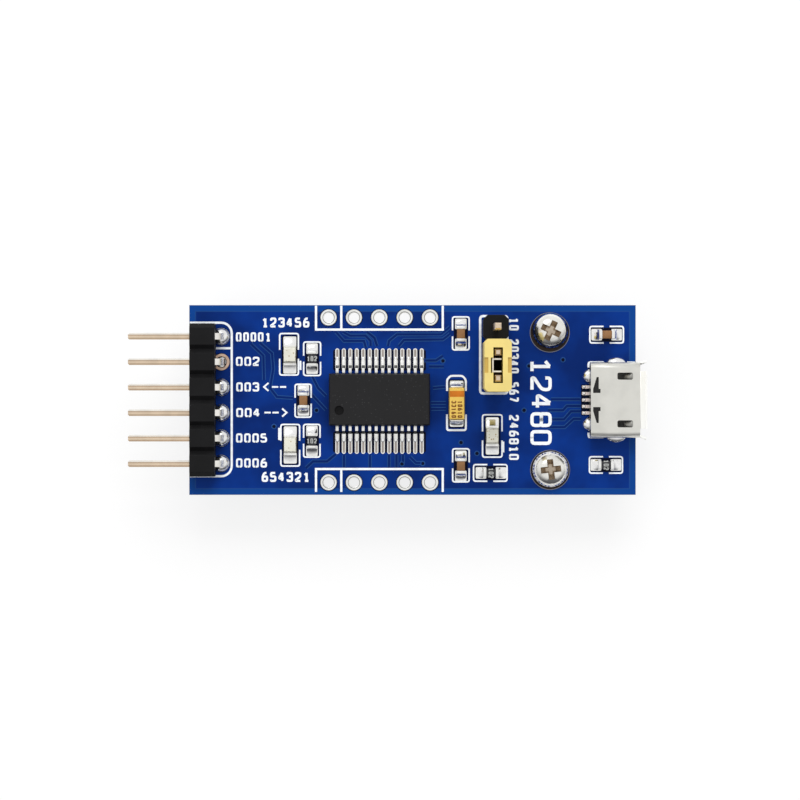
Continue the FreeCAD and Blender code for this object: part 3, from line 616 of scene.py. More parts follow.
class ADAPTER_OT_tracks(bpy.types.Operator):
    """Adds the tracks and vias under the mask"""
    bl_idname = "adapter.tracks"
    bl_label = "Tracks"

    def execute(self, context):
        settings = context.scene.adapter_board
        gap = masked("mask_over_laminate", settings.mask_gap)
        core = masked("mask_over_copper", settings.mask_deep)
        dark = masked("mask_in_via", settings.mask_and_painted_shade_well)
        for name, runs, level, way in (("tracks_top", TRACKS, 0, 1),
                                       ("tracks_under", UNDER_TRACKS, -THICKNESS, -1)):
            bm = bmesh.new()
            for run in runs:
                ribbon(bm, run, TRACK_WIDTH + 2 * TRACK_GAP, level, level + way * 0.008)
                ribbon(bm, run, TRACK_WIDTH, level, level + way * 0.02, slot=1)
            for x, y in VIAS:
                collar = [(0.17, 0), (0.17, 0.024), (0.22, 0.024), (0.27, 0)]
                dot = [(0, 0), (0, 0.01), (0.17, 0.01), (0.17, 0)]
                for profile, slot in ((collar, 0), (dot, 2)):
                    revolve(bm, [(r, level + way * z) for r, z in profile], x, y, 24, slot)
            add_piece(name, bm, [gap, core, dark])
        return {"FINISHED"}


def plated_hole(bm, x, y, outer, hole, rise, edge=0.04):
    """A plated hole with a ring on both faces of the board."""
    under = -THICKNESS
    revolve(bm, [
        (hole, rise - edge / 2), (hole + edge, rise), (outer - edge, rise), (outer, 0),
        (hole + 0.02, 0), (hole + 0.02, under), (outer, under), (outer - edge, under - rise),
        (hole + edge, under - rise), (hole, under - rise + edge / 2),
    ], x, y, steps=48)


HOLE_SHADE_HEIGHT = 0.004
SCREW_RING_HEIGHT = 0.02
PAD_SHADE_HEIGHT = 0.006
WELL_HEIGHT = 0.006
WELL_CORNER = 0.2
CHIP_PADS_Y = CHIP_Y - 0.16


class ADAPTER_OT_pads(bpy.types.Operator):
    """Adds the plated holes and the tinned pads"""
    bl_idname = "adapter.pads"
    bl_label = "Pads"

    def execute(self, context):
        rise = context.scene.adapter_board.copper_height / MM
        metals = context.scene.adapter_metal
        tin = metal("tinned_pad", metals.tin, (0.3, 0.42), depth=0.004)
        bm = bmesh.new()
        for x, y in OPEN_HOLES:
            plated_hole(bm, x, y, 0.82, 0.505, rise)
        add_piece("plated_holes", bm, [tin])
        shaded = metal("shaded_tin", toned(metals.tin, 0.26), (0.3, 0.42))
        # A thin ring of painted shade at the mouth of each open hole, on both faces
        bm = bmesh.new()
        for x, y in OPEN_HOLES:
            for low in (rise, -THICKNESS - rise - HOLE_SHADE_HEIGHT):
                ring(bm, x, y, 0.55, 0.61, low, HOLE_SHADE_HEIGHT)
        add_piece("hole_lip_painted_shade", bm, [shaded])
        bare = HEADER_PINS[BARE_PIN]
        bm = bmesh.new()
        for x, y in HEADER_PINS + JUMPER_PINS:
            if (x, y) != bare:
                plated_hole(bm, x, y, 0.85, 0.47, rise)
        add_piece("pin_rings", bm, [tin])
        copper = metal("bare_ring", metals.ring, (0.3, 0.42), depth=0.004)
        bm = bmesh.new()
        plated_hole(bm, *bare, 0.85, 0.56, rise)
        add_piece("bare_ring", bm, [copper])
        # Rings of painted shadow round the screws, set off centre towards the lower side, with a
        # thin line of shaded tin at their edge
        dark = metal("screw_painted_shadow_ring", toned(metals.ring, 0.05), (0.3, 0.42))
        bm = bmesh.new()
        for x, y in SCREWS:
            for off, low in ((0.16 if y > 0 else 0.06, 0), (0, -THICKNESS - SCREW_RING_HEIGHT)):
                for inner, outer, slot in ((1.3, 1.93, 0), (1.95, 2.0, 1)):
                    ring(bm, x - off / 3, y - off, inner, outer, low, SCREW_RING_HEIGHT, 48, slot)
        add_piece("screw_painted_shadow_rings", bm, [dark, shaded])
        bm = bmesh.new()
        for x, side in LEADS:
            y = CHIP_PADS_Y + side * 4.215
            plate(bm, rounded(x, y, 0.4, 2.13, 0.195), 0, rise)
            # The narrower middle of each chip pad is painted shade, darker than its lit rim
            plate(bm, rounded(x, y + side * 0.42, 0.22, 1.1, 0.1), rise, rise + PAD_SHADE_HEIGHT, 1)
        for places, (off, length, width, corner), _, _ in SMALL_PARTS:
            for x, y, along in places:
                for side in SIDES:
                    turned = (x + side * off, y, length, width) if along == "X" else (
                        x, y + side * off, width, length)
                    plate(bm, rounded(*turned, corner), 0, rise)
        for y in CONTACT_ROWS:
            plate(bm, rounded(17.4, y, 0.86, 0.32, 0.1), 0, rise)
        # Painted shade for the flat middles of the chip's pads
        painted_shade = metal("painted_shade_tin", toned(metals.tin, 0.46, 0.41, 0.38), (0.34, 0.5), patches=2200.0)
        add_piece("pads", bm, [tin, painted_shade])
        # Dark wells round the pads: partly the mask's own step, partly painted shade between the
        # chip's leads and under the parts
        bm = bmesh.new()
        wells = [(CHIP_X, CHIP_PADS_Y + side * 4.1, 9.3, 2.1, WELL_CORNER) for side in SIDES]
        wells.append((17.36, 0, 0.94, 3.1, 0.1))
        for places, _, well, _ in SMALL_PARTS:
            wells += [(x, y, *(well if along == "X" else well[::-1]), WELL_CORNER)
                      for x, y, along in places]
        for outline in wells:
            plate(bm, rounded(*outline), 0, WELL_HEIGHT)
        for x, y in HEADER_PINS + OPEN_HOLES:
            ring(bm, x, y, 0.82, 0.89, 0, WELL_HEIGHT)
        ring(bm, *bare, 0.5, 0.57, 0, WELL_HEIGHT)
        add_piece("mask_and_painted_shade_wells", bm, [masked("mask_and_painted_shade_well", context.scene.adapter_board.mask_and_painted_shade_well)])
        return {"FINISHED"}


def broken_box(x, y, width, height, gap):
    """The two halves of a printed box that is open in the middle of its long sides."""
    across, along = sorted((width / 2 - 0.07, height / 2 - 0.07))
    halves = [[(-across, side * gap / 2), (-across, side * along), (across, side * along),
               (across, side * gap / 2)] for side in SIDES]
    return [[(x + u, y + v) if height > width else (x + v, y + u) for u, v in half]
            for half in halves]


def eased(points, radius, steps=3):
    """A line of points with its corners rounded."""
    places = [Vector(point) for point in points]
    line = [places[0]]
    for before, corner, after in zip(places, places[1:], places[2:]):
        reach = min(radius, (before - corner).length * 0.49, (after - corner).length * 0.49)
        start = corner + (before - corner).normalized() * reach
        end = corner + (after - corner).normalized() * reach
        line += [start.lerp(corner, i / steps).lerp(corner.lerp(end, i / steps), i / steps)
                 for i in range(steps + 1)]
    return line + places[-1:]


# Printed boxes round the small parts: middle, width, height and gap
PART_BOXES = [
    (-10.95, -0.07, 1.74, 3.43, 0.6), (-12.36, 4.58, 2.01, 4.29, 0.9),
    (-12.24, -4.53, 2.02, 4.30, 0.9), (-10.05, 4.13, 1.83, 3.49, 0.6),
    (-10.08, -4.08, 1.78, 3.41, 0.6), (4.84, 6.67, 1.80, 3.44, 0.6),
    (4.85, -6.54, 1.79, 3.45, 0.6), (7.79, -7.30, 3.49, 1.80, 0.6),
    (7.99, -3.60, 2.09, 4.38, 0.9), (19.44, 6.54, 3.49, 1.79, 0.6),
    (19.37, -6.50, 3.44, 1.78, 0.6),
]
FRAME_LINES = [
    [(-22.3, 7.74), (-19.15, 7.74)] + arc(-19.15, 6.69, 1.05, 90, 0)[1:]
    + [(-18.1, -6.58)] + arc(-19.15, -6.58, 1.05, 0, -90)[1:] + [(-22.3, -7.63)],
    [(-19.8, 5.18), (-18.1, 5.18)],
    [(-9.66, 9.45), (-9.66, 7.05), (3.03, 7.05), (3.03, 9.45)],
    [(-7.13, 9.45), (-7.13, 7.05)],
    [(-9.66, -9.2), (-9.66, -6.91), (3.03, -6.91), (3.03, -9.2)],
    [(-7.13, -9.2), (-7.13, -6.91)],
]
PART_LINES = [
    [(-11.22, 3.92), (-11.22, 3.01)], [(-13.35, -2.79), (-13.35, -4.0)],
    [(9.09, -4.16), (9.09, -5.25)],
    [(3.46, 0.91), (3.46, 2.05), (3.82, 2.42), (5.0, 2.42), (5.34, 2.05), (5.34, 0.91)],
    [(3.46, -1.45), (3.46, -3.02), (5.34, -3.02), (5.34, -1.45)],
    [(17.62, 3.26), (17.62, 3.78), (19.14, 3.78)], [(21.48, 3.76), (22.28, 3.76)],
    [(17.62, -3.27), (17.62, -3.73), (19.14, -3.73)],
]
JUMPER_BOX = [(8.1, 8.4), (6.78, 8.4), (6.78, 0.66), (9.5, 0.66), (9.5, 8.4), (8.1, 8.4)]
# Height that keeps crossing strokes apart
LAYER = 0.002
ARROWS = [(-13.72, 1.31, -1), (-13.75, -1.26, 1)]
DIGITS = {
    "0": [[(0.5, 0), (0, 0), (0, 1), (1, 1), (1, 0), (0.5, 0)]],
    "1": [[(0.55, 1), (0.55, 0)], [(0.1, 0.74), (0.55, 0.97)], [(0.15, 0), (0.95, 0)]],
    "2": [[(0, 0.74), (0, 1), (1, 1), (1, 0.55), (0, 0.12), (0, 0), (1, 0)]],
    "3": [[(0, 0.8), (0, 1), (1, 1), (1, 0.52), (0.35, 0.52)],
          [(1, 0.52), (1, 0), (0, 0), (0, 0.2)]],
    "4": [[(1, 0.3), (0, 0.3), (0, 0.42), (0.6, 1)], [(0.66, 1), (0.66, 0)]],
    "5": [[(0.95, 1), (0, 1), (0, 0.56), (1, 0.56), (1, 0), (0, 0), (0, 0.18)]],
    "6": [[(0.85, 1), (0.4, 1), (0, 0.6), (0, 0), (1, 0), (1, 0.3)],
          [(1, 0.3), (1, 0.54), (0, 0.54)]],
    "7": [[(0, 1), (1, 1), (1, 0.8), (0.4, 0)]],
    "8": [[(0.5, 0.52), (0, 0.52), (0, 0), (1, 0), (1, 0.52), (0.5, 0.52)],
          [(0, 0.52), (0, 1), (1, 1), (1, 0.52)]],
}
# Each number: its digits, its span, height and stroke, its place and its turn
LABELS = [
    ("00001", 3.5, 0.92, 0.19, -15.93, 6.32, 0), ("002", 2.36, 0.92, 0.19, -16.5, 3.87, 0),
    ("003", 2.3, 0.92, 0.19, -16.5, 1.31, 0), ("004", 2.4, 0.92, 0.19, -16.45, -1.26, 0),
    ("0005", 3.1, 0.92, 0.19, -16.12, -3.8, 0), ("0006", 3.1, 0.92, 0.19, -16.12, -6.3, 0),
    ("123456", 4.75, 1.0, 0.21, -12.7, 7.76, 0), ("654321", 4.8, 1.0, 0.21, -12.7, -7.7, 0),
    ("10 20340 567", 8.4, 0.98, 0.2, 10.16, 4.02, -90),
    ("246810", 4.5, 0.98, 0.2, 10.16, -3.75, -90), ("12480", 8.67, 2.14, 0.33, 12.87, -0.17, -90),
]


class ADAPTER_OT_print(bpy.types.Operator):
    """Adds the printed lines and numbers"""
    bl_idname = "adapter.print_lines"
    bl_label = "Print"

    def execute(self, context):
        settings = context.scene.adapter_board
        high = settings.ink_height / MM + 0.012
        ink = finish("printed_ink", settings.ink, tone=0.86, patches=1500.0, grain=9000.0,
                     depth=0.006, roughness=(0.5, 0.65), specular=0.3)
        bm = bmesh.new()
        for number, line in enumerate(FRAME_LINES):
            ribbon(bm, line, 0.22, 0, high + number * LAYER)
        for line in PART_LINES:
            ribbon(bm, eased(line, 0.2), 0.2, 0, high + 7 * LAYER)
        ribbon(bm, eased(JUMPER_BOX, 0.3), 0.24, 0, high)
        for box in PART_BOXES:
            for half in broken_box(*box):
                ribbon(bm, eased(half, 0.22), 0.15, 0, high)
        for x, y, way in ARROWS:
            tip = x + way * 1.15
            ribbon(bm, [(tip - way * 0.45, y + 0.4), (tip, y), (tip - way * 0.45, y - 0.4)],
                   0.17, 0, high)
            for start in (0.8, 1.6):
                ribbon(bm, [(tip - way * start, y), (tip - way * (start + 0.62), y)], 0.17, 0, high)
        add_piece("print_lines", bm, [ink])
        bm = bmesh.new()
        for *label, turn in LABELS:
            numerals(bm, *label, 0, high, turn)
        add_piece("print_numbers", bm, [ink])
        return {"FINISHED"}


WETTED_LENGTH = 0.62
# Sides of the strips along the top of a pin, away from its middle line, and their finishes: painted
# highlight along the upper edge, painted shade below it and along the lower edge, plain plating
# between
PIN_STRIPS = ((0.17, 2), (0.06, 3), (-0.15, 0), (-1.0, 3))


class ADAPTER_OT_header(bpy.types.Operator):
    """Finishes the right-angle header and its solder"""
    bl_idname = "adapter.header"
    bl_label = "Header"

    def execute(self, context):
        plastics = context.scene.adapter_plastic
        metals = context.scene.adapter_metal
        nylon = finish("black_nylon", plastics.block, tone=1.25, patches=700.0, grain=7000.0,
                       depth=0.02, roughness=(0.42, 0.55), specular=0.12)
        gilt = metal("gilt_pin", metals.pin, (0.24, 0.36), drawn=(0.05, 1.0, 1.0))
        solder = metal("soft_solder", metals.solder, (0.1, 0.22), patches=1300.0, grain=1500.0,
                       depth=0.012)
        wet = metal("wetted_pin", shade(255, 252, 246), (0.22, 0.34))
        glint = metal("pin_edge_glint", shade(255, 250, 241), (0.22, 0.34))
        painted_shade = metal("pin_edge_painted_shade", toned(metals.pin, 0.7, 0.65, 0.6), (0.24, 0.36),
                     drawn=(0.05, 1.0, 1.0))
        softened("header_block", "header_housing", plastics.edge / MM * 0.7, nylon)
        for number, (x, y) in enumerate(HEADER_PINS, 1):
            bm = node_mesh(f"header_pin_{number}")
            wetted = x - WETTED_LENGTH
            cuts = [((wetted, 0, 0), (1, 0, 0))]
            cuts += [((0, y + side, 0), (0, 1, 0)) for side, _ in PIN_STRIPS[:-1]]
            for place, way in cuts:
                bmesh.ops.bisect_plane(bm, geom=bm.verts[:] + bm.edges[:] + bm.faces[:],
                                       plane_co=place, plane_no=way)
            for face in bm.faces:
                middle = face.calc_center_median()
                if middle.x > wetted:
                    face.material_index = 1
                elif face.normal.z > 0.5:
                    face.material_index = next(slot for side, slot in PIN_STRIPS
                                               if middle.y - y > side)
            add_piece(f"header_pin_{number}_plated", bm, [gilt, wet, glint, painted_shade],
                      replaces=[f"header_pin_{number}"], angle=25.0)
        bm = bmesh.new()
        cone = [(0.2, 0.0), (0.83, 0.0), (0.815, 0.07), (0.76, 0.18), (0.67, 0.29), (0.56, 0.39),
                (0.44, 0.46), (0.2, 0.49)]
        long_cone = [(0.3, 0.0), (0.8, 0.0), (0.78, -0.07), (0.66, -0.18), (0.56, -0.36),
                     (0.48, -0.6), (0.43, -0.78), (0.3, -0.8)]
        for i, (x, y) in enumerate(HEADER_PINS):
            if i != BARE_PIN:
                revolve(bm, cone, x, y)
        for x, y in HEADER_PINS + JUMPER_PINS:
            revolve(bm, [(r, z - THICKNESS) for r, z in long_cone], x, y)
        add_piece("pin_joints", bm, [solder], replaces=["pin_solder"])
        return {"FINISHED"}


class ADAPTER_OT_jumper(bpy.types.Operator):
    """Finishes the jumper block, its posts and its cap"""
    bl_idname = "adapter.jumper"
    bl_label = "Jumper"

    def execute(self, context):
        plastics = context.scene.adapter_plastic
        metals = context.scene.adapter_metal
        nylon = made_materials["black_nylon"]
        yellow = finish("yellow_nylon", plastics.cap, tone=0.9, patches=350.0, grain=6000.0,
                        depth=0.02, roughness=(0.35, 0.5), specular=0.4)
        bronze = metal("spring_bronze", metals.bronze, (0.3, 0.45), drawn=(1.0, 1.0, 0.05))
        edge = plastics.edge / MM
        softened("jumper_block", "jumper_housing", edge * 0.7, nylon)
        for number in range(1, 4):
            dress(f"jumper_post_{number}", made_materials["gilt_pin"])
        # Painted shade for the floors of the cap's two dents
        shaded = finish("yellow_dent_painted_shade", toned(plastics.cap, 0.72, 0.6, 0.42), tone=0.9,
                        patches=350.0, grain=6000.0, depth=0.02, roughness=(0.4, 0.55),
                        specular=0.3)
        cap_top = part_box("jumper_cap")[1].z / MM - board_high.z / MM

        def in_dent(face):
            """Whether a face is in one of the two shallow dents of the cap's top, which are painted
            in shade.
            """
            return int(cap_top - 0.17 < face.calc_center_median().z < cap_top - 0.12
                       and face.normal.z > 0.9)

        softened("jumper_cap", "jumper_sleeve", edge * 1.2, [yellow, shaded], "jumper_cap",
                 segments=3, paint=in_dent)
        softened("jumper_clip", "jumper_spring", 0.03, bronze, "jumper_cap")
        return {"FINISHED"}


MARK_RADIUS = 0.42
MARK_DEPTH = 0.1


class ADAPTER_OT_chip(bpy.types.Operator):
    """Finishes the chip, its leads and their solder"""
    bl_idname = "adapter.chip"
    bl_label = "Chip"

    def execute(self, context):
        plastics = context.scene.adapter_plastic
        metals = context.scene.adapter_metal
        epoxy = finish("chip_epoxy", plastics.chip, tone=1.12, patches=260.0, grain=9000.0,
                       depth=0.025, roughness=(0.5, 0.62), specular=0.1,
                       specks=(0.2, toned(plastics.chip, 2.6)))
        tin = metal("tinned_lead", metals.tin, (0.26, 0.38), patches=1500.0)
        shaded = metal("tinned_slope_painted_shade", toned(metals.tin, 0.14), (0.3, 0.42), patches=1500.0)
        # Painted shade for the hollow of the round mark
        dark = finish("chip_dimple_painted_shade", toned(plastics.chip, 0.25), tone=1.3, patches=900.0,
                      grain=9000.0, depth=0.01, roughness=(0.5, 0.62), specular=0.1)
        chip_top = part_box("chip_body")[1].z / MM - board_high.z / MM
        old_mark = Vector((CHIP_X - 4.05, CHIP_Y - 1.6, chip_top))
        mark = Vector((CHIP_X - 4.0, CHIP_Y - 1.08, chip_top))

        def cut_dimple(bm):
            """Cuts the round mark by the chip's first lead anew, at its full width."""
            old = [vert for vert in bm.verts if (vert.co - old_mark).length < 0.4]
            bmesh.ops.delete(bm, geom=old, context="VERTS")
            top = [face for face in bm.faces if face.normal.z > 0.99
                   and face.calc_center_median().z > chip_top - 0.01]
            bmesh.ops.delete(bm, geom=top, context="FACES_ONLY")
            edges = [edge for edge in bm.edges if edge.is_boundary or edge.is_wire]
            rim = bmesh.ops.create_circle(bm, segments=28, radius=MARK_RADIUS,
                                          matrix=Matrix.Translation(mark))["verts"]
            circle = list({edge for vert in rim for edge in vert.link_edges})
            bmesh.ops.triangle_fill(bm, use_beauty=True, edges=edges + circle)
            inside = [face for face in bm.faces
                      if (face.calc_center_median() - mark).length < MARK_RADIUS
                      and all(vert in rim for vert in face.verts)]
            bmesh.ops.delete(bm, geom=inside, context="FACES_ONLY")
            wall = bmesh.ops.extrude_edge_only(bm, edges=circle)["geom"]
            lower = [part for part in wall if isinstance(part, bmesh.types.BMVert)]
            bmesh.ops.translate(bm, vec=(0, 0, -MARK_DEPTH), verts=lower)
            bmesh.ops.edgeloop_fill(bm, edges=[part for part in wall
                                               if isinstance(part, bmesh.types.BMEdge)
                                               and all(vert in lower for vert in part.verts)])
            bmesh.ops.dissolve_limit(bm, angle_limit=math.radians(0.6), verts=bm.verts,
                                     edges=bm.edges, use_dissolve_boundaries=False)
            bmesh.ops.recalc_face_normals(bm, faces=bm.faces)

        def in_dimple(face):
            """Whether a face is inside the round mark, whose hollow is painted in shade."""
            middle = face.calc_center_median()
            return int((middle - mark).length < MARK_RADIUS + 0.03 and middle.z < chip_top - 0.005)

        softened("chip_body", "chip_moulding", 0.05, [epoxy, dark],
                 paint=in_dimple, reshape=cut_dimple)
        # The steep slopes of the leads are painted in shade
        softened("chip_leads", "chip_lead_frame", 0.03, [tin, shaded],
                 paint=lambda face: int(0.12 < abs(face.normal.z) < 0.6), smooth=25.0)
        bm = bmesh.new()
        for x, side in LEADS:
            bead(bm, x, CHIP_Y + side * 4.02, 0.19, 0.3, 0.13, PAD_TOP)
        add_piece("chip_joints", bm, [made_materials["soft_solder"]])
        return {"FINISHED"}


LIP_START = 22.6
TAB_ROW = 20.4
TAB_OFFSET = 3.62


class ADAPTER_OT_socket(bpy.types.Operator):
    """Finishes the socket, its contacts and its solder"""
    bl_idname = "adapter.socket"
    bl_label = "Socket"

    def execute(self, context):
        plastics = context.scene.adapter_plastic
        metals = context.scene.adapter_metal
        steel = metal("bright_steel", metals.steel, (0.34, 0.46), patches=400.0, depth=0.002,
                      drawn=(1.0, 0.08, 1.0))
        # Painted shade for the inside of the shell and its latches, and painted light for the
        # flared lips
        inner = metal("inner_steel_painted_shade", toned(metals.steel, 0.2), (0.4, 0.5))
        spring = metal("latch_steel_painted_shade", toned(metals.steel, 0.5), (0.4, 0.5))
        bright = finish("lip_steel_painted_light", shade(252, 252, 248), tone=0.96, metallic=0.45,
                        roughness=(0.34, 0.46), patches=400.0, grain=2500.0, depth=0.002)
        resin = finish("socket_resin", toned(plastics.block, 0.7), tone=1.2, patches=700.0,
                       grain=7000.0, depth=0.015, roughness=(0.4, 0.5), specular=0.4)

        def part_of_shell(face):
            """Painted shade for the inside, lighter painted shade for the latches, painted light
            for the flared lips.
            """
            x, y, z = face.calc_center_median()
            if x > LIP_START and z > 1.0:
                return 2
            if 2.0 < abs(y) < 2.75 and 20.2 < x < 21.9 and 1.9 < z < 2.49:
                return 3
            return int(x < LIP_START and abs(y) < 3.5 and 0.24 < z < 2.26
                       and abs(face.normal.x) < 0.9)

        softened("socket_shell", "socket_case", 0.03, [steel, inner, bright, spring],
                 paint=part_of_shell)
        softened("socket_insert", "socket_core", 0.03, resin)
        pale = metal("contact_plating", shade(246, 232, 226), (0.26, 0.38), patches=1500.0)
        for number in range(1, 6):
            dress(f"socket_contact_{number}", pale)
        bm = bmesh.new()
        for side in SIDES:
            bead(bm, TAB_ROW, side * TAB_OFFSET, 1.04, 0.72, 0.5)
            bead(bm, 17.66, side * 2.42, 0.68, 0.68, 0.5)
            bead(bm, TAB_ROW, side * TAB_OFFSET, 0.98, 0.42, -0.24, -THICKNESS)
            bead(bm, 17.83, side * 2.42, 0.42, 0.95, -0.24, -THICKNESS)
        add_piece("socket_joints", bm, [made_materials["soft_solder"]],
                  replaces=["socket_solder"])
        bm = bmesh.new()
        for y in CONTACT_ROWS:
            bead(bm, 17.2, y, 0.2, 0.17, 0.16, PAD_TOP)
        add_piece("contact_joints", bm, [made_materials["soft_solder"]])
        return {"FINISHED"}


class ADAPTER_OT_fasteners(bpy.types.Operator):
    """Finishes the screws and spacers"""
    bl_idname = "adapter.fasteners"
    bl_label = "Fasteners"

    def execute(self, context):
        metals = context.scene.adapter_metal
        steel = metal("screw_plating", metals.screw, (0.16, 0.28), patches=600.0, depth=0.002)
        # Painted shade for the recess and the upper head's far side, painted light for the lower
        # head's side
        recess = metal("screw_recess_painted_shade", toned(metals.screw, 0.62, 0.53, 0.44), (0.3, 0.42))
        side_light = finish("head_side_light", metals.screw, tone=0.9, metallic=0.3,
                            roughness=(0.4, 0.52), patches=600.0, grain=2500.0, depth=0.003)
        shadow = metal("head_side", toned(metals.screw, 0.12), (0.3, 0.42))
        brass = metal("turned_brass", metals.brass, (0.22, 0.34), patches=500.0,
                      drawn=(1.0, 1.0, 0.06))
        for side, (x, y) in zip(("upper", "lower"), SCREWS):

            def part_of_screw(face, x=x, y=y):
                """Painted shade for the recess; the head's steep side is painted lit on the lower
                screw, and painted in shadow on the upper screw where it faces away from the light.
                """
                middle = face.calc_center_median()
                if math.hypot(middle.x - x, middle.y - y) < 1.09 and 0.3 < middle.z < 1.1:
                    return 1
                if 0 < middle.z < 0.9 and face.normal.z < 0.5:
                    return 3 if y < 0 else 2 * int(face.normal.y < 0.35)
                return 0

            softened(f"screw_{side}", f"screw_{side}_finished", 0,
                     [steel, recess, shadow, side_light],
                     paint=part_of_screw, smooth=42.0)
            softened(f"spacer_{side}", f"spacer_{side}_finished", 0, brass)
        return {"FINISHED"}


TANTALUM_TOP = 1.6
RESISTOR_TOP = 0.425
PRINT_HEIGHT = 0.006


class ADAPTER_OT_small_parts(bpy.types.Operator):
    """Finishes the capacitors, resistors and lamps, and their solder"""
    bl_idname = "adapter.small_parts"
    bl_label = "Small parts"

    def execute(self, context):
        plastics = context.scene.adapter_plastic
        metals = context.scene.adapter_metal
        ceramic = finish("fired_ceramic", plastics.ceramic, tone=0.82, patches=900.0, grain=5000.0,
                         depth=0.012, roughness=(0.4, 0.55))
        glaze = finish("resistor_glaze", plastics.resistor, tone=1.4, patches=900.0, grain=6000.0,
                       depth=0.01, roughness=(0.3, 0.45))
        laminate = finish("lamp_laminate", shade(214, 208, 170), tone=0.9, patches=900.0,
                          grain=6000.0, depth=0.008, roughness=(0.5, 0.6))
        lens = finish("lamp_resin", plastics.lens, tone=0.92, patches=900.0, grain=9000.0,
                      depth=0.006, roughness=(0.16, 0.26), transmission=0.25,
                      specks=(0.3, shade(168, 140, 84)))
        case = finish("tantalum_moulding", plastics.tantalum, tone=0.93, patches=500.0,
                      grain=7000.0, depth=0.015, roughness=(0.42, 0.55), specular=0.35)
        band, marks = (finish(name, colour, tone=0.8, patches=1200.0, grain=7000.0, depth=0.008,
                              roughness=(0.45, 0.6), specular=0.2)
                       for name, colour in (("tantalum_band", plastics.band),
                                            ("tantalum_ink", plastics.marks)))
        tin = metal("plated_end", metals.tin, (0.26, 0.4), patches=1500.0)
        for number in range(1, 5):
            softened(f"capacitor_body_{number}", f"capacitor_{number}_ceramic", 0.05, ceramic)
            softened(f"resistor_body_{number}", f"resistor_{number}_glaze", 0.03, glaze)
            for kind in ("capacitor", "resistor"):
                softened(f"{kind}_ends_{number}", f"{kind}_{number}_ends", 0.05, tin,
                         segments=3)
        for number in range(1, 4):
            softened(f"lamp_base_{number}", f"lamp_{number}_base", 0.02, laminate)
            softened(f"lamp_lens_{number}", f"lamp_{number}_lens", 0.06, lens,
                     segments=3)
            softened(f"lamp_ends_{number}", f"lamp_{number}_ends", 0.03, tin)
        softened("tantalum_case", "tantalum_body", 0.06, case, segments=3)
        softened("tantalum_terminals", "tantalum_tabs", 0.03, tin)
        bm = bmesh.new()
        for places, _, _, fillet in SMALL_PARTS:
            for place in places:
                for side in SIDES:
                    pool(bm, place, side, *fillet)
        add_piece("part_joints", bm, [made_materials["soft_solder"]],
                  replaces=["component_solder"], angle=60.0)
        x, y = TANTALUM
        bm = bmesh.new()
        high = TANTALUM_TOP + PRINT_HEIGHT
        plate(bm, rounded(x, 0.61, 1.42, 0.6, 0.03, 2), TANTALUM_TOP, high)
        for words, off in (("10610", 0.31), ("33160", -0.31)):
            numerals(bm, words, 1.7, 0.48, 0.11, x + off, y - 0.56, TANTALUM_TOP, high, -90, 1)
        add_piece("tantalum_marks", bm, [band, marks])
        bm = bmesh.new()
        ink = finish("resistor_ink", shade(172, 174, 172), tone=0.85, patches=1200.0, grain=7000.0,
                     depth=0.008, roughness=(0.45, 0.6), specular=0.2)
        for x, y, along in RESISTORS:
            numerals(bm, "102", 1.0, 0.5, 0.1, x, y, RESISTOR_TOP, RESISTOR_TOP + 0.005,
                     -90 if along == "X" else 0)
        add_piece("resistor_marks", bm, [ink])
        return {"FINISHED"}


CAMERA_SHIFT = -1.25
# Way to the bright window, which the polished metal reflects
WINDOW = Vector((-0.25, 0.62, 0.72))


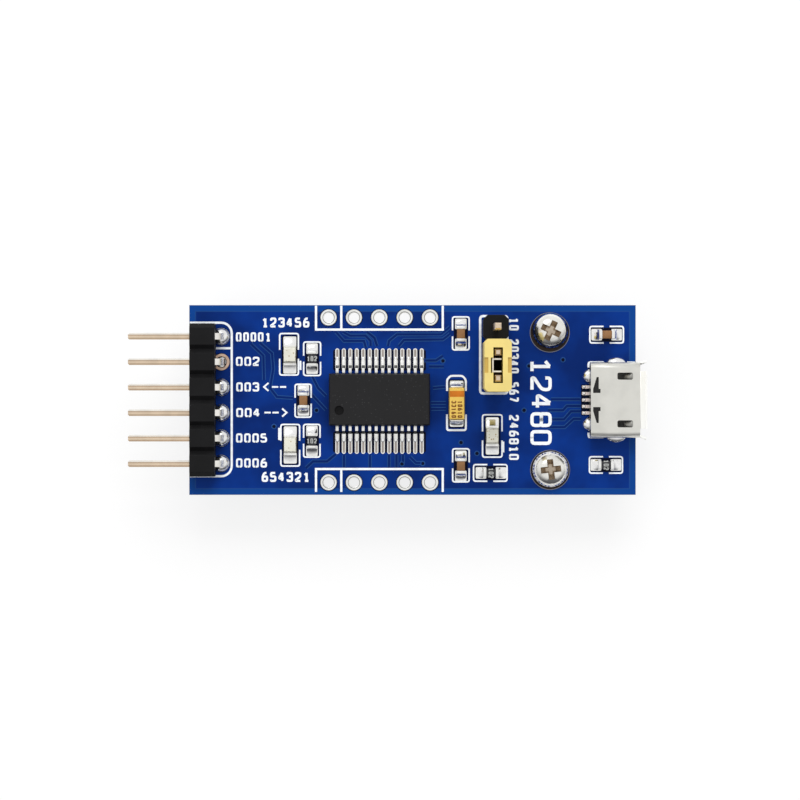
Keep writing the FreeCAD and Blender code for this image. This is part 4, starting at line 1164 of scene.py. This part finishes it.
class ADAPTER_OT_stage(bpy.types.Operator):
    """Adds the floor, the light and the camera"""
    bl_idname = "adapter.stage"
    bl_label = "Stage"

    def execute(self, context):
        settings = context.scene.adapter_stage
        self.add_camera(context, settings)
        self.add_floor(context, settings)
        self.add_light(context, settings)
        context.scene.view_settings.view_transform = "Standard"
        return {"FINISHED"}

    def add_camera(self, context, settings):
        lens = bpy.data.cameras.new("camera")
        lens.sensor_fit = "HORIZONTAL"
        lens.sensor_width = 36
        lens.lens = settings.camera_lens
        lens.clip_start = 0.01
        camera = bpy.data.objects.new("camera", lens)
        camera.location = (board_middle.x + CAMERA_SHIFT * MM, 0,
                           board_high.z + settings.camera_height)
        context.scene.collection.objects.link(camera)
        context.scene.camera = camera

    def add_floor(self, context, settings):
        material, tree, shader, place = new_material("floor")
        pale = tuple(settings.floor)
        patches = use_effect(tree, "mottle", place, Scale=6.0)["Mask"]
        base = mix(tree, patches, pale, toned(pale, 0.995))
        wire(tree, base, shader.inputs["Base Color"])
        shader.inputs["Roughness"].default_value = 0.9
        shader.inputs["Specular IOR Level"].default_value = 0.1
        near = add_node(tree, "AmbientOcclusion", {"Distance": settings.contact_reach}, samples=8)
        level = map_range(tree, near.outputs["AO"], 0.0, 0.75, 0.36, 1.0, "LINEAR")
        glow = add_node(tree, "Emission", {"Color": base, "Strength": level})
        rays = add_node(tree, "LightPath").outputs
        seen = math_node(tree, "MAXIMUM", rays["Is Camera Ray"],
                         math_node(tree, "MAXIMUM", rays["Is Glossy Ray"],
                                   rays["Is Transmission Ray"]))
        share = math_node(tree, "MULTIPLY", seen, 0.8)
        blend = add_node(tree, "MixShader", {0: share, 1: shader.outputs["BSDF"],
                                             2: glow.outputs["Emission"]})
        output = next(node for node in tree.nodes if node.type == "OUTPUT_MATERIAL")
        wire(tree, blend.outputs[0], output.inputs["Surface"])
        bm = bmesh.new()
        bmesh.ops.create_grid(bm, x_segments=8, y_segments=8, size=settings.floor_size / 2)
        mesh = bpy.data.meshes.new("floor")
        bm.to_mesh(mesh)
        bm.free()
        mesh.materials.append(material)
        floor = bpy.data.objects.new("floor", mesh)
        context.scene.collection.objects.link(floor)

    def add_light(self, context, settings):
        world = bpy.data.worlds.new("soft_light")
        world.use_nodes = True
        tree = world.node_tree
        background = next(node for node in tree.nodes if node.type == "BACKGROUND")
        way = add_node(tree, "TexCoord").outputs["Generated"]
        split = add_node(tree, "SeparateXYZ", {0: way}).outputs
        lean = math_node(tree, "ADD", math_node(tree, "MULTIPLY", split["Y"], 0.75),
                         math_node(tree, "MULTIPLY", split["Z"], 0.65))
        level = map_range(tree, lean, -0.5, 0.4)
        towards = math_node(tree, "DOT_PRODUCT", way, WINDOW.normalized(), kind="VectorMath",
                            output=1)
        window = map_range(tree, towards, 0.955, 0.975)
        soft = mix(tree, level, (0.1, 0.1, 0.11), (1.0, 1.0, 1.0))
        shown = mix(tree, window, soft, (2.6, 2.6, 2.6))
        rays = add_node(tree, "LightPath").outputs
        shown = mix(tree, rays["Is Camera Ray"], shown, (1 / settings.sky,) * 3)
        wire(tree, shown, background.inputs["Color"])
        background.inputs["Strength"].default_value = settings.sky
        context.scene.world = world
        for name, place, size, share in (("key_light", (0.05, 0.34, 0.36), 0.28, 1.0),
                                         ("fill_light", (-0.3, -0.2, 0.4), 0.3, 0.25)):
            lamp = bpy.data.lights.new(name, "AREA")
            lamp.size = size
            lamp.energy = settings.key * share
            holder = bpy.data.objects.new(name, lamp)
            holder.location = place
            holder.visible_glossy = False
            holder.rotation_euler = (-Vector(place)).to_track_quat("-Z", "Y").to_euler()
            context.scene.collection.objects.link(holder)


class ADAPTER_PT_pieces(bpy.types.Panel):
    """Lists the pieces and their settings"""
    bl_idname = "ADAPTER_PT_pieces"
    bl_label = "Serial adapter"
    bl_space_type = "VIEW_3D"
    bl_region_type = "UI"
    bl_category = "Adapter"

    def draw(self, context):
        for operator in OPERATORS:
            self.layout.operator(operator.bl_idname)
        for key, group in SETTINGS.items():
            box = self.layout.box()
            for name in group.__annotations__:
                box.prop(getattr(context.scene, key), name)


SETTINGS = {"adapter_board": BoardSettings, "adapter_metal": MetalSettings,
            "adapter_plastic": PlasticSettings, "adapter_stage": StageSettings}
OPERATORS = [ADAPTER_OT_board, ADAPTER_OT_tracks, ADAPTER_OT_pads, ADAPTER_OT_print,
             ADAPTER_OT_header, ADAPTER_OT_jumper, ADAPTER_OT_chip, ADAPTER_OT_socket,
             ADAPTER_OT_fasteners, ADAPTER_OT_small_parts, ADAPTER_OT_stage]


def register():
    """Makes the settings, the operators and the panel known to Blender."""
    for key, group in SETTINGS.items():
        bpy.utils.register_class(group)
        setattr(bpy.types.Scene, key, PointerProperty(type=group))
    for operator in OPERATORS:
        bpy.utils.register_class(operator)
    bpy.utils.register_class(ADAPTER_PT_pieces)


def unregister():
    """Takes them away again."""
    bpy.utils.unregister_class(ADAPTER_PT_pieces)
    for operator in reversed(OPERATORS):
        bpy.utils.unregister_class(operator)
    for key, group in SETTINGS.items():
        delattr(bpy.types.Scene, key)
        bpy.utils.unregister_class(group)


def main():
    """Builds every piece in order."""
    register()
    for operator in OPERATORS:
        family, name = operator.bl_idname.split(".")
        getattr(getattr(bpy.ops, family), name)()


if __name__ == "__main__":
    main()
